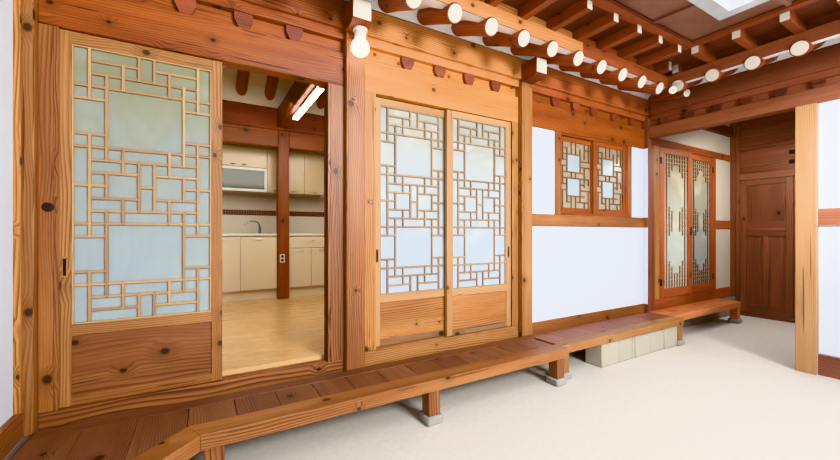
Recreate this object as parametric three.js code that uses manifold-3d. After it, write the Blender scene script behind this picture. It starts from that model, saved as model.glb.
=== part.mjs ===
// Courtyard hanok: a U-shaped timber house with a main wing, a west wing and an east wing
// with a gate passage. Units are millimetres, +X runs right along the main front,
// +Y runs into the main wing and +Z is up. The ground is z = 0.
import * as THREE from 'three';
import { mergeVertices } from 'three/addons/utils/BufferGeometryUtils.js';
import Module from 'manifold-3d';

const wasm = await Module();
wasm.setup();

// Column lines, measured from the first column of the main front
const COLUMN_X = [-19, 1820, 3640, 5925];
const WEST_LINE = -2830;
const GATE_LINE = 8535;
const INNER_LINE = 2835;
const BACK_LINE = 3475;
const PASSAGE_LINE = -1545;
const SOUTH_LINE = -3600;
const COLUMN = 150;
const HALF = COLUMN / 2;
const FIT = 0.3;

// Heights above the ground
const FOUNDATION_TOP = 300;
const PORCH_TOP = 324;
const FLOOR_TOP = 420;
const RAIL_LOW = 1424;
const RAIL_HIGH = 1554;
const LINTEL_LOW = 2460;
const LINTEL_HIGH = 2720;
const EAST_LINTEL_LOW = 2594;
const EAST_LINTEL_HIGH = 2740;
const BLOCK_HIGH = 2822;
const SUPPORT_HIGH = 2892;
const NOSE_LOW = 2864;
const NOSE_HIGH = 3040;

// Roof frame: distances run from a ridge towards its eaves
const HALF_SPAN = 1415;
const EAVE_OUT = 528;
const RAFTER_END = HALF_SPAN + EAVE_OUT;
const RAFTER_END_Z = 2996;
const RAFTER_RADIUS = 72;
const RAFTER_PITCH = 351;
const FIRST_RAFTER = 314;
const RAFTER_SLOPE = 0.404;
const RAFTER_RISE = RAFTER_RADIUS * Math.hypot(1, RAFTER_SLOPE);
const STRIP_WIDTH = 64;
const STRIP_LOW = 3020;
const STRIP_TOP = 3136;
const FLY_END = HALF_SPAN + 892;
const FLY_AXIS_Z = 3184;
const FLY_WIDTH = 70;
const FLY_HEIGHT = 104;
const ROOF_EDGE = 2375;
const RIDGE_FLAT = 110;
const RIDGE_Z = 4240;
const RIDGE_HEIGHT = 330;
const SOUTH_EDGE = -4040;
const RIDGE_Y = HALF_SPAN;
const WEST_RIDGE_X = -HALF_SPAN;
const EAST_RIDGE_X = COLUMN_X[3] + HALF_SPAN;

// Doors and windows
const FRAME_FRONT = -25;
const PLASTER_FRONT = -10;
const RUNNER = 5;
const LEAF = { thick: 34, stile: 62, lowRail: 53, midRail: 63, glassLow: 844, glassHigh: 2400 };
const BAY_A = { left: 140, right: 1620, low: 390, high: 2472, width: 799 };
const BAY_B = { left: 2007, right: 3480, low: FLOOR_TOP, high: 2463, width: 775 };
const DOOR_D = { left: 6228, right: 7830, low: 454, top: 2545, head: 2645, thick: 40, stile: 110, ajar: 3.5 };
const WINDOW_C = { left: 4200, right: 5470 };
const WALL = { west: WEST_LINE - 45, east: GATE_LINE + 40, south: SOUTH_LINE - 40, north: BACK_LINE + 60, thick: 80 };
const GATE = { north: -130, south: -1425, low: 60, high: 2215, thick: 45, x: 8482 };

const PINE = 0xb8743a;
const HONEY = 0xcf9148;
const RED_PINE = 0x8a4a26;
const DARK_PINE = 0x6b3a22;
const PLASTER = 0xeceff0;

const wood = (color, roughness = 0.55) => new THREE.MeshStandardMaterial({ color, roughness, metalness: 0 });
const plaster = () => new THREE.MeshStandardMaterial({ color: PLASTER, roughness: 0.9, metalness: 0 });
const paperGlass = () => new THREE.MeshStandardMaterial({ color: 0xc9d2c8, roughness: 0.35, metalness: 0 });

const house = new THREE.Group();

function add(name, geometry, material, parent = house) {
  const mesh = new THREE.Mesh(geometry, material);
  mesh.name = name;
  parent.add(mesh);
  return mesh;
}

// A block between two opposite corners
function block(x0, x1, y0, y1, z0, z1) {
  const geometry = new THREE.BoxGeometry(x1 - x0, y1 - y0, z1 - z0);
  return geometry.translate((x0 + x1) / 2, (y0 + y1) / 2, (z0 + z1) / 2);
}

// Corners are rounded to a hundredth so that faces meant to meet share one plane
const rounded = (value) => Math.round(value * 100) / 100;

function toSolid(geometry) {
  const bare = geometry.clone();
  bare.deleteAttribute('normal');
  bare.deleteAttribute('uv');
  const merged = mergeVertices(bare, 1e-4);
  return new wasm.Manifold(new wasm.Mesh({
    numProp: 3,
    vertProperties: Float32Array.from(merged.attributes.position.array, rounded),
    triVerts: new Uint32Array(merged.index.array),
  }));
}

function toGeometry(solid) {
  const mesh = solid.getMesh();
  const geometry = new THREE.BufferGeometry();
  geometry.setAttribute('position', new THREE.BufferAttribute(new Float32Array(mesh.vertProperties), 3));
  geometry.setIndex(new THREE.BufferAttribute(new Uint32Array(mesh.triVerts), 1));
  const flat = geometry.toNonIndexed();
  flat.computeVertexNormals();
  return flat;
}

function join(geometries) {
  return toGeometry(geometries.map(toSolid).reduce((whole, next) => whole.add(next)));
}

function cut(geometry, tools) {
  return toGeometry(tools.map(toSolid).reduce((whole, next) => whole.subtract(next), toSolid(geometry)));
}

function outline(points) {
  return new THREE.Shape(points.map(([u, v]) => new THREE.Vector2(u, v)));
}

// Extrudes a profile drawn in (y, z) along X from x0 to x1
function alongX(points, x0, x1) {
  const geometry = new THREE.ExtrudeGeometry(outline(points), { depth: x1 - x0, bevelEnabled: false });
  const turn = new THREE.Matrix4().set(0, 0, 1, x0, 1, 0, 0, 0, 0, 1, 0, 0, 0, 0, 0, 1);
  return geometry.applyMatrix4(turn);
}

// Extrudes a profile drawn in (x, z) along Y from y0 to y1
function alongY(points, y0, y1) {
  const geometry = new THREE.ExtrudeGeometry(outline(points), { depth: y1 - y0, bevelEnabled: false });
  const turn = new THREE.Matrix4().set(1, 0, 0, 0, 0, 0, -1, y1, 0, 1, 0, 0, 0, 0, 0, 1);
  return geometry.applyMatrix4(turn);
}

// Extrudes a plan outline drawn in (x, y) from z0 up to z1
function upward(points, z0, z1) {
  const geometry = new THREE.ExtrudeGeometry(outline(points), { depth: z1 - z0, bevelEnabled: false });
  return geometry.translate(0, 0, z0);
}

// Three runs of one roof profile, mitred where the wings meet. A profile point is
// (distance from the ridge, height), with the courtyard side positive.
function mainRun(points, gap = FIT) {
  const geometry = new THREE.ExtrudeGeometry(outline(points), { depth: 1, bevelEnabled: false });
  const place = geometry.attributes.position;
  for (let i = 0; i < place.count; i += 1) {
    const out = place.getX(i);
    const west = WEST_RIDGE_X + out + gap;
    const east = EAST_RIDGE_X - out - gap;
    const x = place.getZ(i) < 0.5 ? east : west;
    place.setXYZ(i, x, RIDGE_Y - out, place.getY(i));
  }
  geometry.computeVertexNormals();
  return geometry;
}

function wingRun(points, side, southEnd, gap = FIT) {
  const geometry = new THREE.ExtrudeGeometry(outline(points), { depth: 1, bevelEnabled: false });
  const ridgeX = side > 0 ? WEST_RIDGE_X : EAST_RIDGE_X;
  const place = geometry.attributes.position;
  for (let i = 0; i < place.count; i += 1) {
    const out = place.getX(i);
    const north = RIDGE_Y - out - gap;
    const atNorth = side > 0 ? place.getZ(i) < 0.5 : place.getZ(i) > 0.5;
    place.setXYZ(i, ridgeX + side * out, atNorth ? north : southEnd, place.getY(i));
  }
  geometry.computeVertexNormals();
  return geometry;
}

const rafterAxis = (out) => RAFTER_END_Z + RAFTER_SLOPE * (RAFTER_END - out);
const deckUnder = (out) => rafterAxis(out) + RAFTER_RISE + FIT;
const FLY_ROOF = FLY_AXIS_Z + FLY_HEIGHT / 2 + FIT;
const tileTop = (out) => 4330 - 0.55 * out + 4.89e-5 * out * out;
const PURLIN_HIGH = rafterAxis(HALF_SPAN + HALF) - RAFTER_RISE - FIT;

// Underside of one roof slope: over the round rafters, then up a step over the flying rafters
function deckProfile() {
  const step = RAFTER_END - STRIP_WIDTH - FIT;
  return [[step, deckUnder(step)], [step, FLY_ROOF], [ROOF_EDGE, FLY_ROOF]];
}

function roofProfile() {
  const top = [ROOF_EDGE, 2050, 1600, 1100, 600].map((out) => [out, tileTop(out)]);
  const half = [...deckProfile(), ...top, [RIDGE_FLAT, RIDGE_Z]];
  const mirrored = half.map(([out, z]) => [-out, z]).reverse();
  return [[0, deckUnder(0)], ...half, ...mirrored];
}

// All that lies above the roof deck, as one tool that trims the wall tops
function aboveDeck() {
  const half = deckProfile().map(([out, z]) => [out, z - 2]);
  const mirrored = half.map(([out, z]) => [-out, z]).reverse();
  const above = [[0, deckUnder(0) - 2], ...half, [ROOF_EDGE, 4700], [-ROOF_EDGE, 4700], ...mirrored];
  return join([mainRun(above, 0), wingRun(above, 1, SOUTH_EDGE, 0), wingRun(above, -1, SOUTH_EDGE, 0)]);
}

function makeRoofs() {
  const profile = roofProfile();
  const tile = () => new THREE.MeshStandardMaterial({ color: 0x4a4d52, roughness: 0.8, metalness: 0 });
  add('roof_main', mainRun(profile), tile());
  add('roof_west', wingRun(profile, 1, SOUTH_EDGE), tile());
  add('roof_east', wingRun(profile, -1, SOUTH_EDGE), tile());
}

// The ridge stacks run along the three ridges and down the two outer hips
function makeRidge() {
  const low = RIDGE_Z + FIT;
  const high = RIDGE_Z + RIDGE_HEIGHT;
  const main = block(WEST_RIDGE_X - 100, EAST_RIDGE_X + 100, RIDGE_Y - 100, RIDGE_Y + 100, low, high);
  const west = block(WEST_RIDGE_X - 100, WEST_RIDGE_X + 100, SOUTH_EDGE, RIDGE_Y, low, high);
  const east = block(EAST_RIDGE_X - 100, EAST_RIDGE_X + 100, SOUTH_EDGE, RIDGE_Y, low, high);
  const hips = [1, -1].map((side) => {
    const run = [80, 600, 1100, 1600, 2050, 2290];
    const below = run.map((out) => [out * Math.SQRT2, tileTop(out) + 4]);
    const above = run.map((out) => [out * Math.SQRT2, tileTop(out) + 210]).reverse();
    const hip = alongY([...below, ...above], -80, 80);
    const ridgeX = side > 0 ? EAST_RIDGE_X : WEST_RIDGE_X;
    const angle = side > 0 ? Math.PI / 4 : (3 * Math.PI) / 4;
    return hip.rotateZ(angle).translate(ridgeX, RIDGE_Y, 0);
  });
  const tile = new THREE.MeshStandardMaterial({ color: 0x3c3f44, roughness: 0.8, metalness: 0 });
  add('ridge_stack', join([main, west, east, ...hips]), tile);
}

// One round rafter from near the ridge down to the distance reach
function rafter(reach, room = 0) {
  const start = 62;
  const length = (reach - start) * Math.hypot(1, RAFTER_SLOPE);
  const radius = (RAFTER_RADIUS + room) / Math.cos(Math.PI / 8);
  const log = new THREE.CylinderGeometry(radius, radius, length, 8);
  log.rotateY(Math.PI / 8);
  log.rotateX(Math.atan(RAFTER_SLOPE));
  return log.translate(0, -(start + reach) / 2, rafterAxis((start + reach) / 2));
}

// One square flying rafter from the eave strip out to the distance reach
function flyingRafter(reach) {
  const start = RAFTER_END - STRIP_WIDTH + 10;
  const half = FLY_WIDTH / 2;
  return block(-half, half, -reach, -start, FLY_AXIS_Z - FLY_HEIGHT / 2, FLY_AXIS_Z + FLY_HEIGHT / 2);
}

const STRIP = [
  [RAFTER_END - STRIP_WIDTH, STRIP_LOW],
  [RAFTER_END, STRIP_LOW],
  [RAFTER_END, STRIP_TOP],
  [RAFTER_END - STRIP_WIDTH, STRIP_TOP],
];

function makeRafters() {
  const last = EAST_RIDGE_X - RAFTER_END - 110;
  const main = [mainRun(STRIP)];
  for (let x = FIRST_RAFTER + RAFTER_PITCH; x < last; x += RAFTER_PITCH) {
    const room = Math.min(x - WEST_RIDGE_X, EAST_RIDGE_X - x);
    main.push(rafter(Math.min(RAFTER_END, room - 110)).translate(x, RIDGE_Y, 0));
    main.push(flyingRafter(Math.min(FLY_END, room - 60)).translate(x, RIDGE_Y, 0));
  }
  add('rafters_main', join(main), wood(RED_PINE));
  for (const side of [1, -1]) {
    const ridgeX = side > 0 ? WEST_RIDGE_X : EAST_RIDGE_X;
    const angle = (side * Math.PI) / 2;
    const set = [wingRun(STRIP, side, SOUTH_EDGE)];
    for (let y = -FIRST_RAFTER - RAFTER_PITCH; y > SOUTH_EDGE + 100; y -= RAFTER_PITCH) {
      const room = RIDGE_Y - y;
      set.push(rafter(Math.min(RAFTER_END, room - 110)).rotateZ(angle).translate(ridgeX, y, 0));
      set.push(flyingRafter(Math.min(FLY_END, room - 60)).rotateZ(angle).translate(ridgeX, y, 0));
    }
    add(side > 0 ? 'rafters_west' : 'rafters_east', join(set), wood(RED_PINE));
  }
}

// Sheet-metal canopy with a box gutter along the three courtyard eaves
function makeCanopy() {
  const near = ROOF_EDGE + FIT;
  const gutterIn = HALF_SPAN + 1325;
  const gutterOut = gutterIn + 100;
  const sheet = 10;
  const profile = [
    [near, 3240], [gutterIn, 3222], [gutterIn, 3156], [gutterOut, 3156], [gutterOut, 3256],
    [gutterOut - sheet, 3256], [gutterOut - sheet, 3156 + sheet], [gutterIn + sheet, 3156 + sheet],
    [gutterIn + sheet, 3222 + sheet], [near, 3240 + sheet],
  ];
  const runs = [mainRun(profile, -0.2), wingRun(profile, 1, SOUTH_EDGE, 0), wingRun(profile, -1, SOUTH_EDGE, 0)];
  add('eave_canopy', join(runs), new THREE.MeshStandardMaterial({ color: 0x6b4636, roughness: 0.5, metalness: 0.4 }));
}

function makeBase() {
  const stone = new THREE.MeshStandardMaterial({ color: 0x9a9890, roughness: 0.95, metalness: 0 });
  const outerX = GATE_LINE + HALF;
  const west = WEST_LINE - HALF;
  add('foundation', upward([
    [west, SOUTH_LINE - 70], [HALF - 20, SOUTH_LINE - 70], [HALF - 20, -HALF], [outerX, -HALF],
    [outerX, BACK_LINE + 90], [west, BACK_LINE + 90],
  ], 0, FOUNDATION_TOP), stone);
  const inner = 80;
  add('floor', upward([
    [WEST_LINE + inner, SOUTH_LINE + 45], [-100, SOUTH_LINE + 45], [-100, HALF + FIT],
    [GATE_LINE - inner, HALF + FIT], [GATE_LINE - inner, BACK_LINE - 25], [WEST_LINE + inner, BACK_LINE - 25],
  ], FOUNDATION_TOP + FIT, FLOOR_TOP), wood(0xc9965c, 0.35));
  const room = block(COLUMN_X[3] + 60, GATE_LINE - 45, SOUTH_LINE + 45, PASSAGE_LINE - 55, 0, 200);
  const clear = HALF + FIT;
  const post = block(COLUMN_X[3] - clear, COLUMN_X[3] + clear, PASSAGE_LINE - clear, PASSAGE_LINE + clear, -10, 300);
  const east = cut(room, [post]);
  add('floor_east', east, wood(0xc9965c, 0.35));
}

const deckPlank = 40;
const beamDepth = 81;
const beamWidth = 135;

// Deck boards between a front beam and a rear strip, with legs down to the ground
function makePorch() {
  const back = -HALF - FIT;
  const front = -565;
  const corner = [800, front];
  const turn = [525, front - 275];
  const west = turn[0];
  const south = SOUTH_LINE + 20;
  const inside = beamWidth + FIT;
  const right = 3640;
  const faceX = 60;
  const beamLow = PORCH_TOP - beamDepth;
  const main = upward([
    corner, [right, front], [right, front + beamWidth], [corner[0] - 56, front + beamWidth],
    [west - beamWidth, turn[1] + 56], [west - beamWidth, south], [west, south], turn,
  ], beamLow, PORCH_TOP);
  const leg = (x, y) => block(x - 48, x + 48, y - 48, y + 48, 0, beamLow + 5);
  const legs = [leg(900, front + 70), leg(2230, front + 70), leg(3560, front + 70), leg(west - 70, -1500), leg(west - 70, south + 100)];
  add('porch_beams', join([main, ...legs]), wood(HONEY));
  add('porch_boards', upward([
    [corner[0] - 56.4, front + inside], [right, front + inside], [right, back], [faceX, back],
    [faceX, south], [west - inside, south], [west - inside, turn[1] + 56.2],
  ], PORCH_TOP - deckPlank, PORCH_TOP), wood(PINE));
  const middle = { x0: right + FIT, x1: 5840, front: -495 };
  const step = { x0: middle.x1 + FIT, x1: 7800, front: -385 };
  for (const [name, part, tone] of [['porch_middle', middle, PINE], ['porch_step', step, RED_PINE]]) {
    const rim = block(part.x0, part.x1, part.front, part.front + beamWidth, beamLow, PORCH_TOP);
    const deck = block(part.x0, part.x1, part.front + beamWidth - 5, back, PORCH_TOP - deckPlank, PORCH_TOP);
    const feet = [leg(part.x0 + 60, part.front + 60), leg(part.x1 - 60, part.front + 60)];
    add(name, join([rim, deck, ...feet]), wood(tone));
  }
}

// A square column with a tongue in front that carries a beam end
function column(name, x, y, foot, tongue) {
  const high = tongue ? BLOCK_HIGH - FIT : LINTEL_HIGH;
  const points = [[-HALF, foot], [HALF, foot], [HALF, high], [-30 - FIT, high]];
  if (tongue) points.push([-30 - FIT, NOSE_LOW - FIT], [-HALF, NOSE_LOW - FIT]);
  else points.push([-HALF, high]);
  add(name, alongX(points, x - HALF, x + HALF).translate(0, y, 0), wood(HONEY));
}

function makeColumns() {
  COLUMN_X.forEach((x, i) => column(`column_${i + 1}`, x, 0, FOUNDATION_TOP + FIT, true));
  const post = block(-HALF, HALF, -HALF, HALF, 0, EAST_LINTEL_LOW - FIT);
  add('passage_post', post, wood(PINE)).position.set(COLUMN_X[3], PASSAGE_LINE, 0);
  const posts = COLUMN_X.map((x) => block(x - HALF, x + HALF, INNER_LINE - HALF, INNER_LINE + HALF, FLOOR_TOP + FIT, 2600));
  const band = block(-HALF, COLUMN_X[3] + HALF, INNER_LINE - HALF, INNER_LINE + HALF, 2564, PURLIN_HIGH);
  add('inner_frame', join([band, ...posts]), wood(DARK_PINE));
}

// A lintel with its backing board and the row of bearing blocks on top
function lintel(name, x0, x1, low, firstBlock, pitch) {
  const pieces = [
    block(x0, x1, FRAME_FRONT, HALF, low + FIT, LINTEL_HIGH),
    block(x0, x1, 15, HALF - 20, LINTEL_HIGH - 5, BLOCK_HIGH - FIT),
  ];
  for (let x = firstBlock; x < x1 + 40; x += pitch) {
    const foot = [Math.max(x - 48, x0), Math.min(x + 48, x1)];
    const head = [Math.max(x - 63, x0), Math.min(x + 63, x1)];
    const bearing = [
      [foot[0], LINTEL_HIGH - 3], [foot[1], LINTEL_HIGH - 3], [head[1], BLOCK_HIGH - FIT], [head[0], BLOCK_HIGH - FIT],
    ];
    pieces.push(alongY(bearing, -20, 20));
  }
  add(name, join(pieces), wood(HONEY));
}

function makeBeams() {
  const bays = [['lintel_a', BAY_A.high, 391, 330], ['lintel_b', BAY_B.high, 1978, 324], ['lintel_c', LINTEL_LOW, 3872, 323]];
  bays.forEach(([name, low, first, pitch], i) => {
    lintel(name, COLUMN_X[i] + HALF + FIT, COLUMN_X[i + 1] - HALF - FIT, low, first, pitch);
  });
  const purlin = (front) => [
    [front, SUPPORT_HIGH], [-30, SUPPORT_HIGH], [-30, BLOCK_HIGH], [50, BLOCK_HIGH], [50, SUPPORT_HIGH],
    [HALF, SUPPORT_HIGH], [HALF, PURLIN_HIGH], [front, PURLIN_HIGH],
  ];
  const tieX = [COLUMN_X[1], COLUMN_X[2]];
  const notch = (x) => block(x - 70 - FIT, x + 70 + FIT, -100, 100, NOSE_LOW - FIT, 2950 + FIT);
  add('purlin_main', cut(alongX(purlin(-60), -HALF, COLUMN_X[3] + HALF), tieX.map(notch)), wood(HONEY));
  tieX.forEach((x, i) => {
    const end = INNER_LINE - HALF - FIT;
    const side = [
      [-260, NOSE_LOW], [HALF + FIT, NOSE_LOW], [HALF + FIT, 2830], [end, 2830], [end, 3094],
      [HALF + FIT, 3094], [HALF + FIT, 2950], [-60 - FIT, 2950], [-60 - FIT, NOSE_HIGH], [-260, NOSE_HIGH],
    ];
    const beam = alongX(side, x - 70, x + 70);
    const nearest = FIRST_RAFTER + RAFTER_PITCH * Math.round((x - FIRST_RAFTER) / RAFTER_PITCH);
    const rest = rafter(RAFTER_END, 1).translate(nearest, RIDGE_Y, 0);
    add(`tie_beam_${i + 1}`, cut(beam, [rest]), wood(PINE));
  });
  makeWingBeams(purlin);
  makeRidgeBeam();
}

// Beams over the courtyard sides of the two wings
function makeWingBeams(purlin) {
  const turned = (points, side) => points.map(([out, z]) => [side * out, z]);
  const north = -HALF - FIT;
  const inner = SOUTH_LINE + 40 + FIT;
  const west = [
    alongY(turned(purlin(-60), -1).reverse(), SOUTH_EDGE + 60, north),
    block(-60, 25, inner, north, EAST_LINTEL_LOW + FIT, BLOCK_HIGH + 5),
  ];
  add('beam_west', join(west), wood(PINE));
  const x = COLUMN_X[3];
  const east = alongY(turned(purlin(-60), 1), SOUTH_EDGE + 60, north);
  const parts = [
    east.translate(x, 0, 0),
    block(x - 60, x + 60, inner, north, EAST_LINTEL_LOW, EAST_LINTEL_HIGH),
    block(x - 10, x + 50, inner, north, EAST_LINTEL_HIGH - 5, BLOCK_HIGH + 5),
  ];
  for (let y = -400; y > SOUTH_LINE + 200; y -= 340) {
    parts.push(block(x - 45, x - 5, y - 50, y + 50, EAST_LINTEL_HIGH - 5, BLOCK_HIGH - FIT));
  }
  add('beam_east', join(parts), wood(RED_PINE));
}

// Ridge beam with short posts down to the tie beams
function makeRidgeBeam() {
  const top = rafterAxis(HALF) - RAFTER_RISE - FIT;
  const beam = block(0, COLUMN_X[3], RIDGE_Y - 60, RIDGE_Y + 60, top - 190, top);
  const posts = [COLUMN_X[1], COLUMN_X[2]].map((x) => block(x - 60, x + 60, RIDGE_Y - 60, RIDGE_Y + 60, 3094 + FIT, top - 150));
  add('ridge_beam', join([beam, ...posts]), wood(DARK_PINE));
}

// A frame of sill and jambs under the lintel, with two runner rails on the sill. The jambs
// are rebated behind a front lip so that the leaves shut into them.
function slidingFrame(name, x0, x1, bay) {
  const lip = 20;
  const outer = block(x0, x1, FRAME_FRONT, HALF, FOUNDATION_TOP + FIT, bay.high);
  const holes = [
    block(bay.left, bay.right, FRAME_FRONT - 10, HALF + 10, bay.low, bay.high + 10),
    block(bay.left - lip, bay.right + lip, FRONT_TRACK - RUNNER, REAR_TRACK + LEAF.thick + RUNNER, bay.low, bay.high + 10),
  ];
  const rails = [FRONT_TRACK, REAR_TRACK].map((y) => {
    const mid = y + LEAF.thick / 2;
    return block(bay.left - lip - 5, bay.right + lip + 5, mid - 4, mid + 4, bay.low - 5, bay.low + RUNNER);
  });
  add(name, join([cut(outer, holes), ...rails]), wood(HONEY));
}

const FRONT_TRACK = -14;
const REAR_TRACK = FRONT_TRACK + LEAF.thick + 8;

// A sliding leaf: stiles and rails round a glass opening, with a sunk panel below
function slidingLeaf(name, bay, x, y) {
  const low = bay.low + RUNNER + FIT;
  const high = bay.high - RUNNER;
  const inner = [LEAF.stile, bay.width - LEAF.stile];
  const panel = [low + LEAF.lowRail, LEAF.glassLow - LEAF.midRail];
  const board = block(0, bay.width, 0, LEAF.thick, low, high);
  const sunk = 9;
  const leaf = cut(board, [
    block(inner[0], inner[1], -5, LEAF.thick + 5, LEAF.glassLow, LEAF.glassHigh),
    block(inner[0], inner[1], -5, sunk, panel[0], panel[1]),
    block(inner[0], inner[1], LEAF.thick - sunk, LEAF.thick + 5, panel[0], panel[1]),
  ]);
  add(`leaf_${name}`, leaf, wood(HONEY)).position.set(x, y, 0);
  const pane = block(inner[0] + FIT, inner[1] - FIT, 18, 26, LEAF.glassLow + FIT, LEAF.glassHigh - FIT);
  add(`glass_${name}`, pane, paperGlass()).position.set(x, y, 0);
}

function makeSlidingDoors() {
  slidingFrame('door_frame_a', COLUMN_X[0] + HALF + FIT, COLUMN_X[1] - HALF - FIT, BAY_A);
  slidingFrame('door_frame_b', COLUMN_X[1] + HALF + FIT, COLUMN_X[2] - HALF - FIT, BAY_B);
  slidingLeaf('a_front', BAY_A, 126, FRONT_TRACK);
  slidingLeaf('a_rear', BAY_A, 126, REAR_TRACK);
  slidingLeaf('b_right', BAY_B, 2700, FRONT_TRACK);
  slidingLeaf('b_left', BAY_B, 2006, REAR_TRACK);
}

// White wall of the third bay: rails and studs in front, a plaster sheet behind
function makeBayC() {
  const x0 = COLUMN_X[2] + HALF + FIT;
  const x1 = COLUMN_X[3] - HALF - FIT;
  const split = 25;
  const stud = 80;
  const frame = [
    block(x0, x1, FRAME_FRONT, split, FOUNDATION_TOP + FIT, FLOOR_TOP),
    block(x0, x1, FRAME_FRONT, split, RAIL_LOW, RAIL_HIGH),
    block(WINDOW_C.left - stud, WINDOW_C.left, FRAME_FRONT, split, RAIL_HIGH - 1, LINTEL_LOW),
    block(WINDOW_C.right, WINDOW_C.right + stud + 10, FRAME_FRONT, split, RAIL_HIGH - 1, LINTEL_LOW),
    block(x0, x0 + 20, FRAME_FRONT, split, FLOOR_TOP - 1, LINTEL_LOW),
    block(x1 - 10, x1, -68, FRAME_FRONT + 5, RAIL_LOW, RAIL_HIGH),
  ];
  add('wall_frame_c', join(frame), wood(PINE));
  const back = split + FIT;
  const sheet = cut(block(x0, x1, back, HALF, FOUNDATION_TOP + FIT, LINTEL_LOW), [
    block(WINDOW_C.left, WINDOW_C.right, 0, 100, RAIL_HIGH, LINTEL_LOW + 10),
  ]);
  const fill = (u0, u1, z0, z1) => block(u0 + FIT, u1 - FIT, PLASTER_FRONT, back + 5, z0 + FIT, z1 - FIT);
  add('wall_c', join([
    sheet,
    fill(x0 + 20, x1, FLOOR_TOP, RAIL_LOW),
    fill(x0 + 20, WINDOW_C.left - stud, RAIL_HIGH, LINTEL_LOW),
    fill(WINDOW_C.right + stud + 10, x1, RAIL_HIGH, LINTEL_LOW),
    block(x1 - 8, x1 - FIT, -68, PLASTER_FRONT + 4, FLOOR_TOP + FIT, RAIL_LOW - FIT),
    block(x1 - 8, x1 - FIT, -68, PLASTER_FRONT + 4, RAIL_HIGH + FIT, LINTEL_LOW - FIT),
  ]), plaster());
  const w = { x0: WINDOW_C.left + FIT, x1: WINDOW_C.right - FIT, z0: RAIL_HIGH + FIT, z1: LINTEL_LOW };
  add('window_c', slidingWindow(w.x0, w.x1, w.z0, w.z1), wood(RED_PINE));
}

// A fixed pair of window sashes, one before the other, in a thin outer frame
function slidingWindow(x0, x1, z0, z1) {
  const rim = 25;
  const frame = cut(block(x0, x1, -20, 60, z0, z1), [block(x0 + rim, x1 - rim, -30, 70, z0 + rim, z1 - rim)]);
  const mid = (x0 + x1) / 2;
  const sash = (a, b, y) => {
    const body = block(a, b, y, y + 32, z0 + rim - 2, z1 - rim + 2);
    const hollow = 45;
    return cut(body, [
      block(a + hollow, b - hollow, y - 5, y + 12, z0 + rim + hollow, z1 - rim - hollow),
      block(a + hollow, b - hollow, y + 20, y + 40, z0 + rim + hollow, z1 - rim - hollow),
    ]);
  };
  return join([frame, sash(x0 + rim - 2, mid + 25, -12), sash(mid - 25, x1 - rim + 2, 18)]);
}

// Fourth bay, beside the passage: a hinged pair of lattice doors and white panels
function makeBayD() {
  const x0 = COLUMN_X[3] + HALF + FIT;
  const x1 = GATE_LINE - HALF - FIT;
  const split = 25;
  const jamb = 75;
  const top = 3900;
  const frame = [
    block(x0, x1, FRAME_FRONT, split, FOUNDATION_TOP + FIT, DOOR_D.low),
    block(x0, x1, FRAME_FRONT, split, DOOR_D.top, DOOR_D.head),
    block(x0, DOOR_D.left, FRAME_FRONT, split, DOOR_D.low - 1, DOOR_D.top + 1),
    block(DOOR_D.right, DOOR_D.right + jamb, FRAME_FRONT, split, DOOR_D.low - 1, DOOR_D.top + 1),
    block(DOOR_D.right + jamb - 1, x1, FRAME_FRONT, split, RAIL_LOW, RAIL_HIGH),
  ];
  add('door_frame_d', join(frame), wood(RED_PINE));
  const back = split + FIT;
  const sheet = alongY([
    [x0, DOOR_D.top], [DOOR_D.right, DOOR_D.top], [DOOR_D.right, FOUNDATION_TOP + FIT],
    [x1, FOUNDATION_TOP + FIT], [x1, top], [x0, top],
  ], back, HALF);
  const fill = (u0, u1, z0, z1) => block(u0, u1, PLASTER_FRONT, back + 5, z0 + FIT, z1);
  const panels = [
    fill(x0 + 4, x1 - 4, DOOR_D.head, top),
    fill(DOOR_D.right + jamb + FIT, x1 - 4, DOOR_D.low, RAIL_LOW - FIT),
    fill(DOOR_D.right + jamb + FIT, x1 - 4, RAIL_HIGH, DOOR_D.top - FIT),
  ];
  add('wall_d', cut(join([sheet, ...panels]), [aboveDeck()]), plaster());
  const gap = 5;
  const mid = (DOOR_D.left + DOOR_D.right) / 2;
  hingedLeaf('d_left', DOOR_D.left + gap, mid - gap / 2, 1, -DOOR_D.ajar);
  hingedLeaf('d_right', mid + gap / 2, DOOR_D.right - gap, -1, 0);
}

// A hinged lattice leaf with a pin under its hinge side, turned about its hinge by some degrees
function hingedLeaf(name, x0, x1, side, turn) {
  const low = DOOR_D.low + 6;
  const high = DOOR_D.top - 6;
  const glass = { left: x0 + DOOR_D.stile, right: x1 - DOOR_D.stile, low: low + 120, high: high - 85 };
  const front = FRAME_FRONT;
  const body = cut(block(x0, x1, front, front + DOOR_D.thick, low, high), [
    block(glass.left, glass.right, front - 5, HALF, glass.low, glass.high),
  ]);
  const hinge = side > 0 ? x0 : x1;
  const pinX = hinge + side * 12;
  const pin = block(pinX - 8, pinX + 8, front + 4, front + 20, DOOR_D.low + FIT, low + 5);
  const pane = block(glass.left + FIT, glass.right - FIT, front + 18, front + 24, glass.low + FIT, glass.high - FIT);
  const swing = (geometry) => geometry.translate(-hinge, -front, 0).rotateZ((turn * Math.PI) / 180).translate(hinge, front, 0);
  add(`leaf_${name}`, swing(join([body, pin])), wood(RED_PINE));
  add(`glass_${name}`, swing(pane), paperGlass());
}

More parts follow.
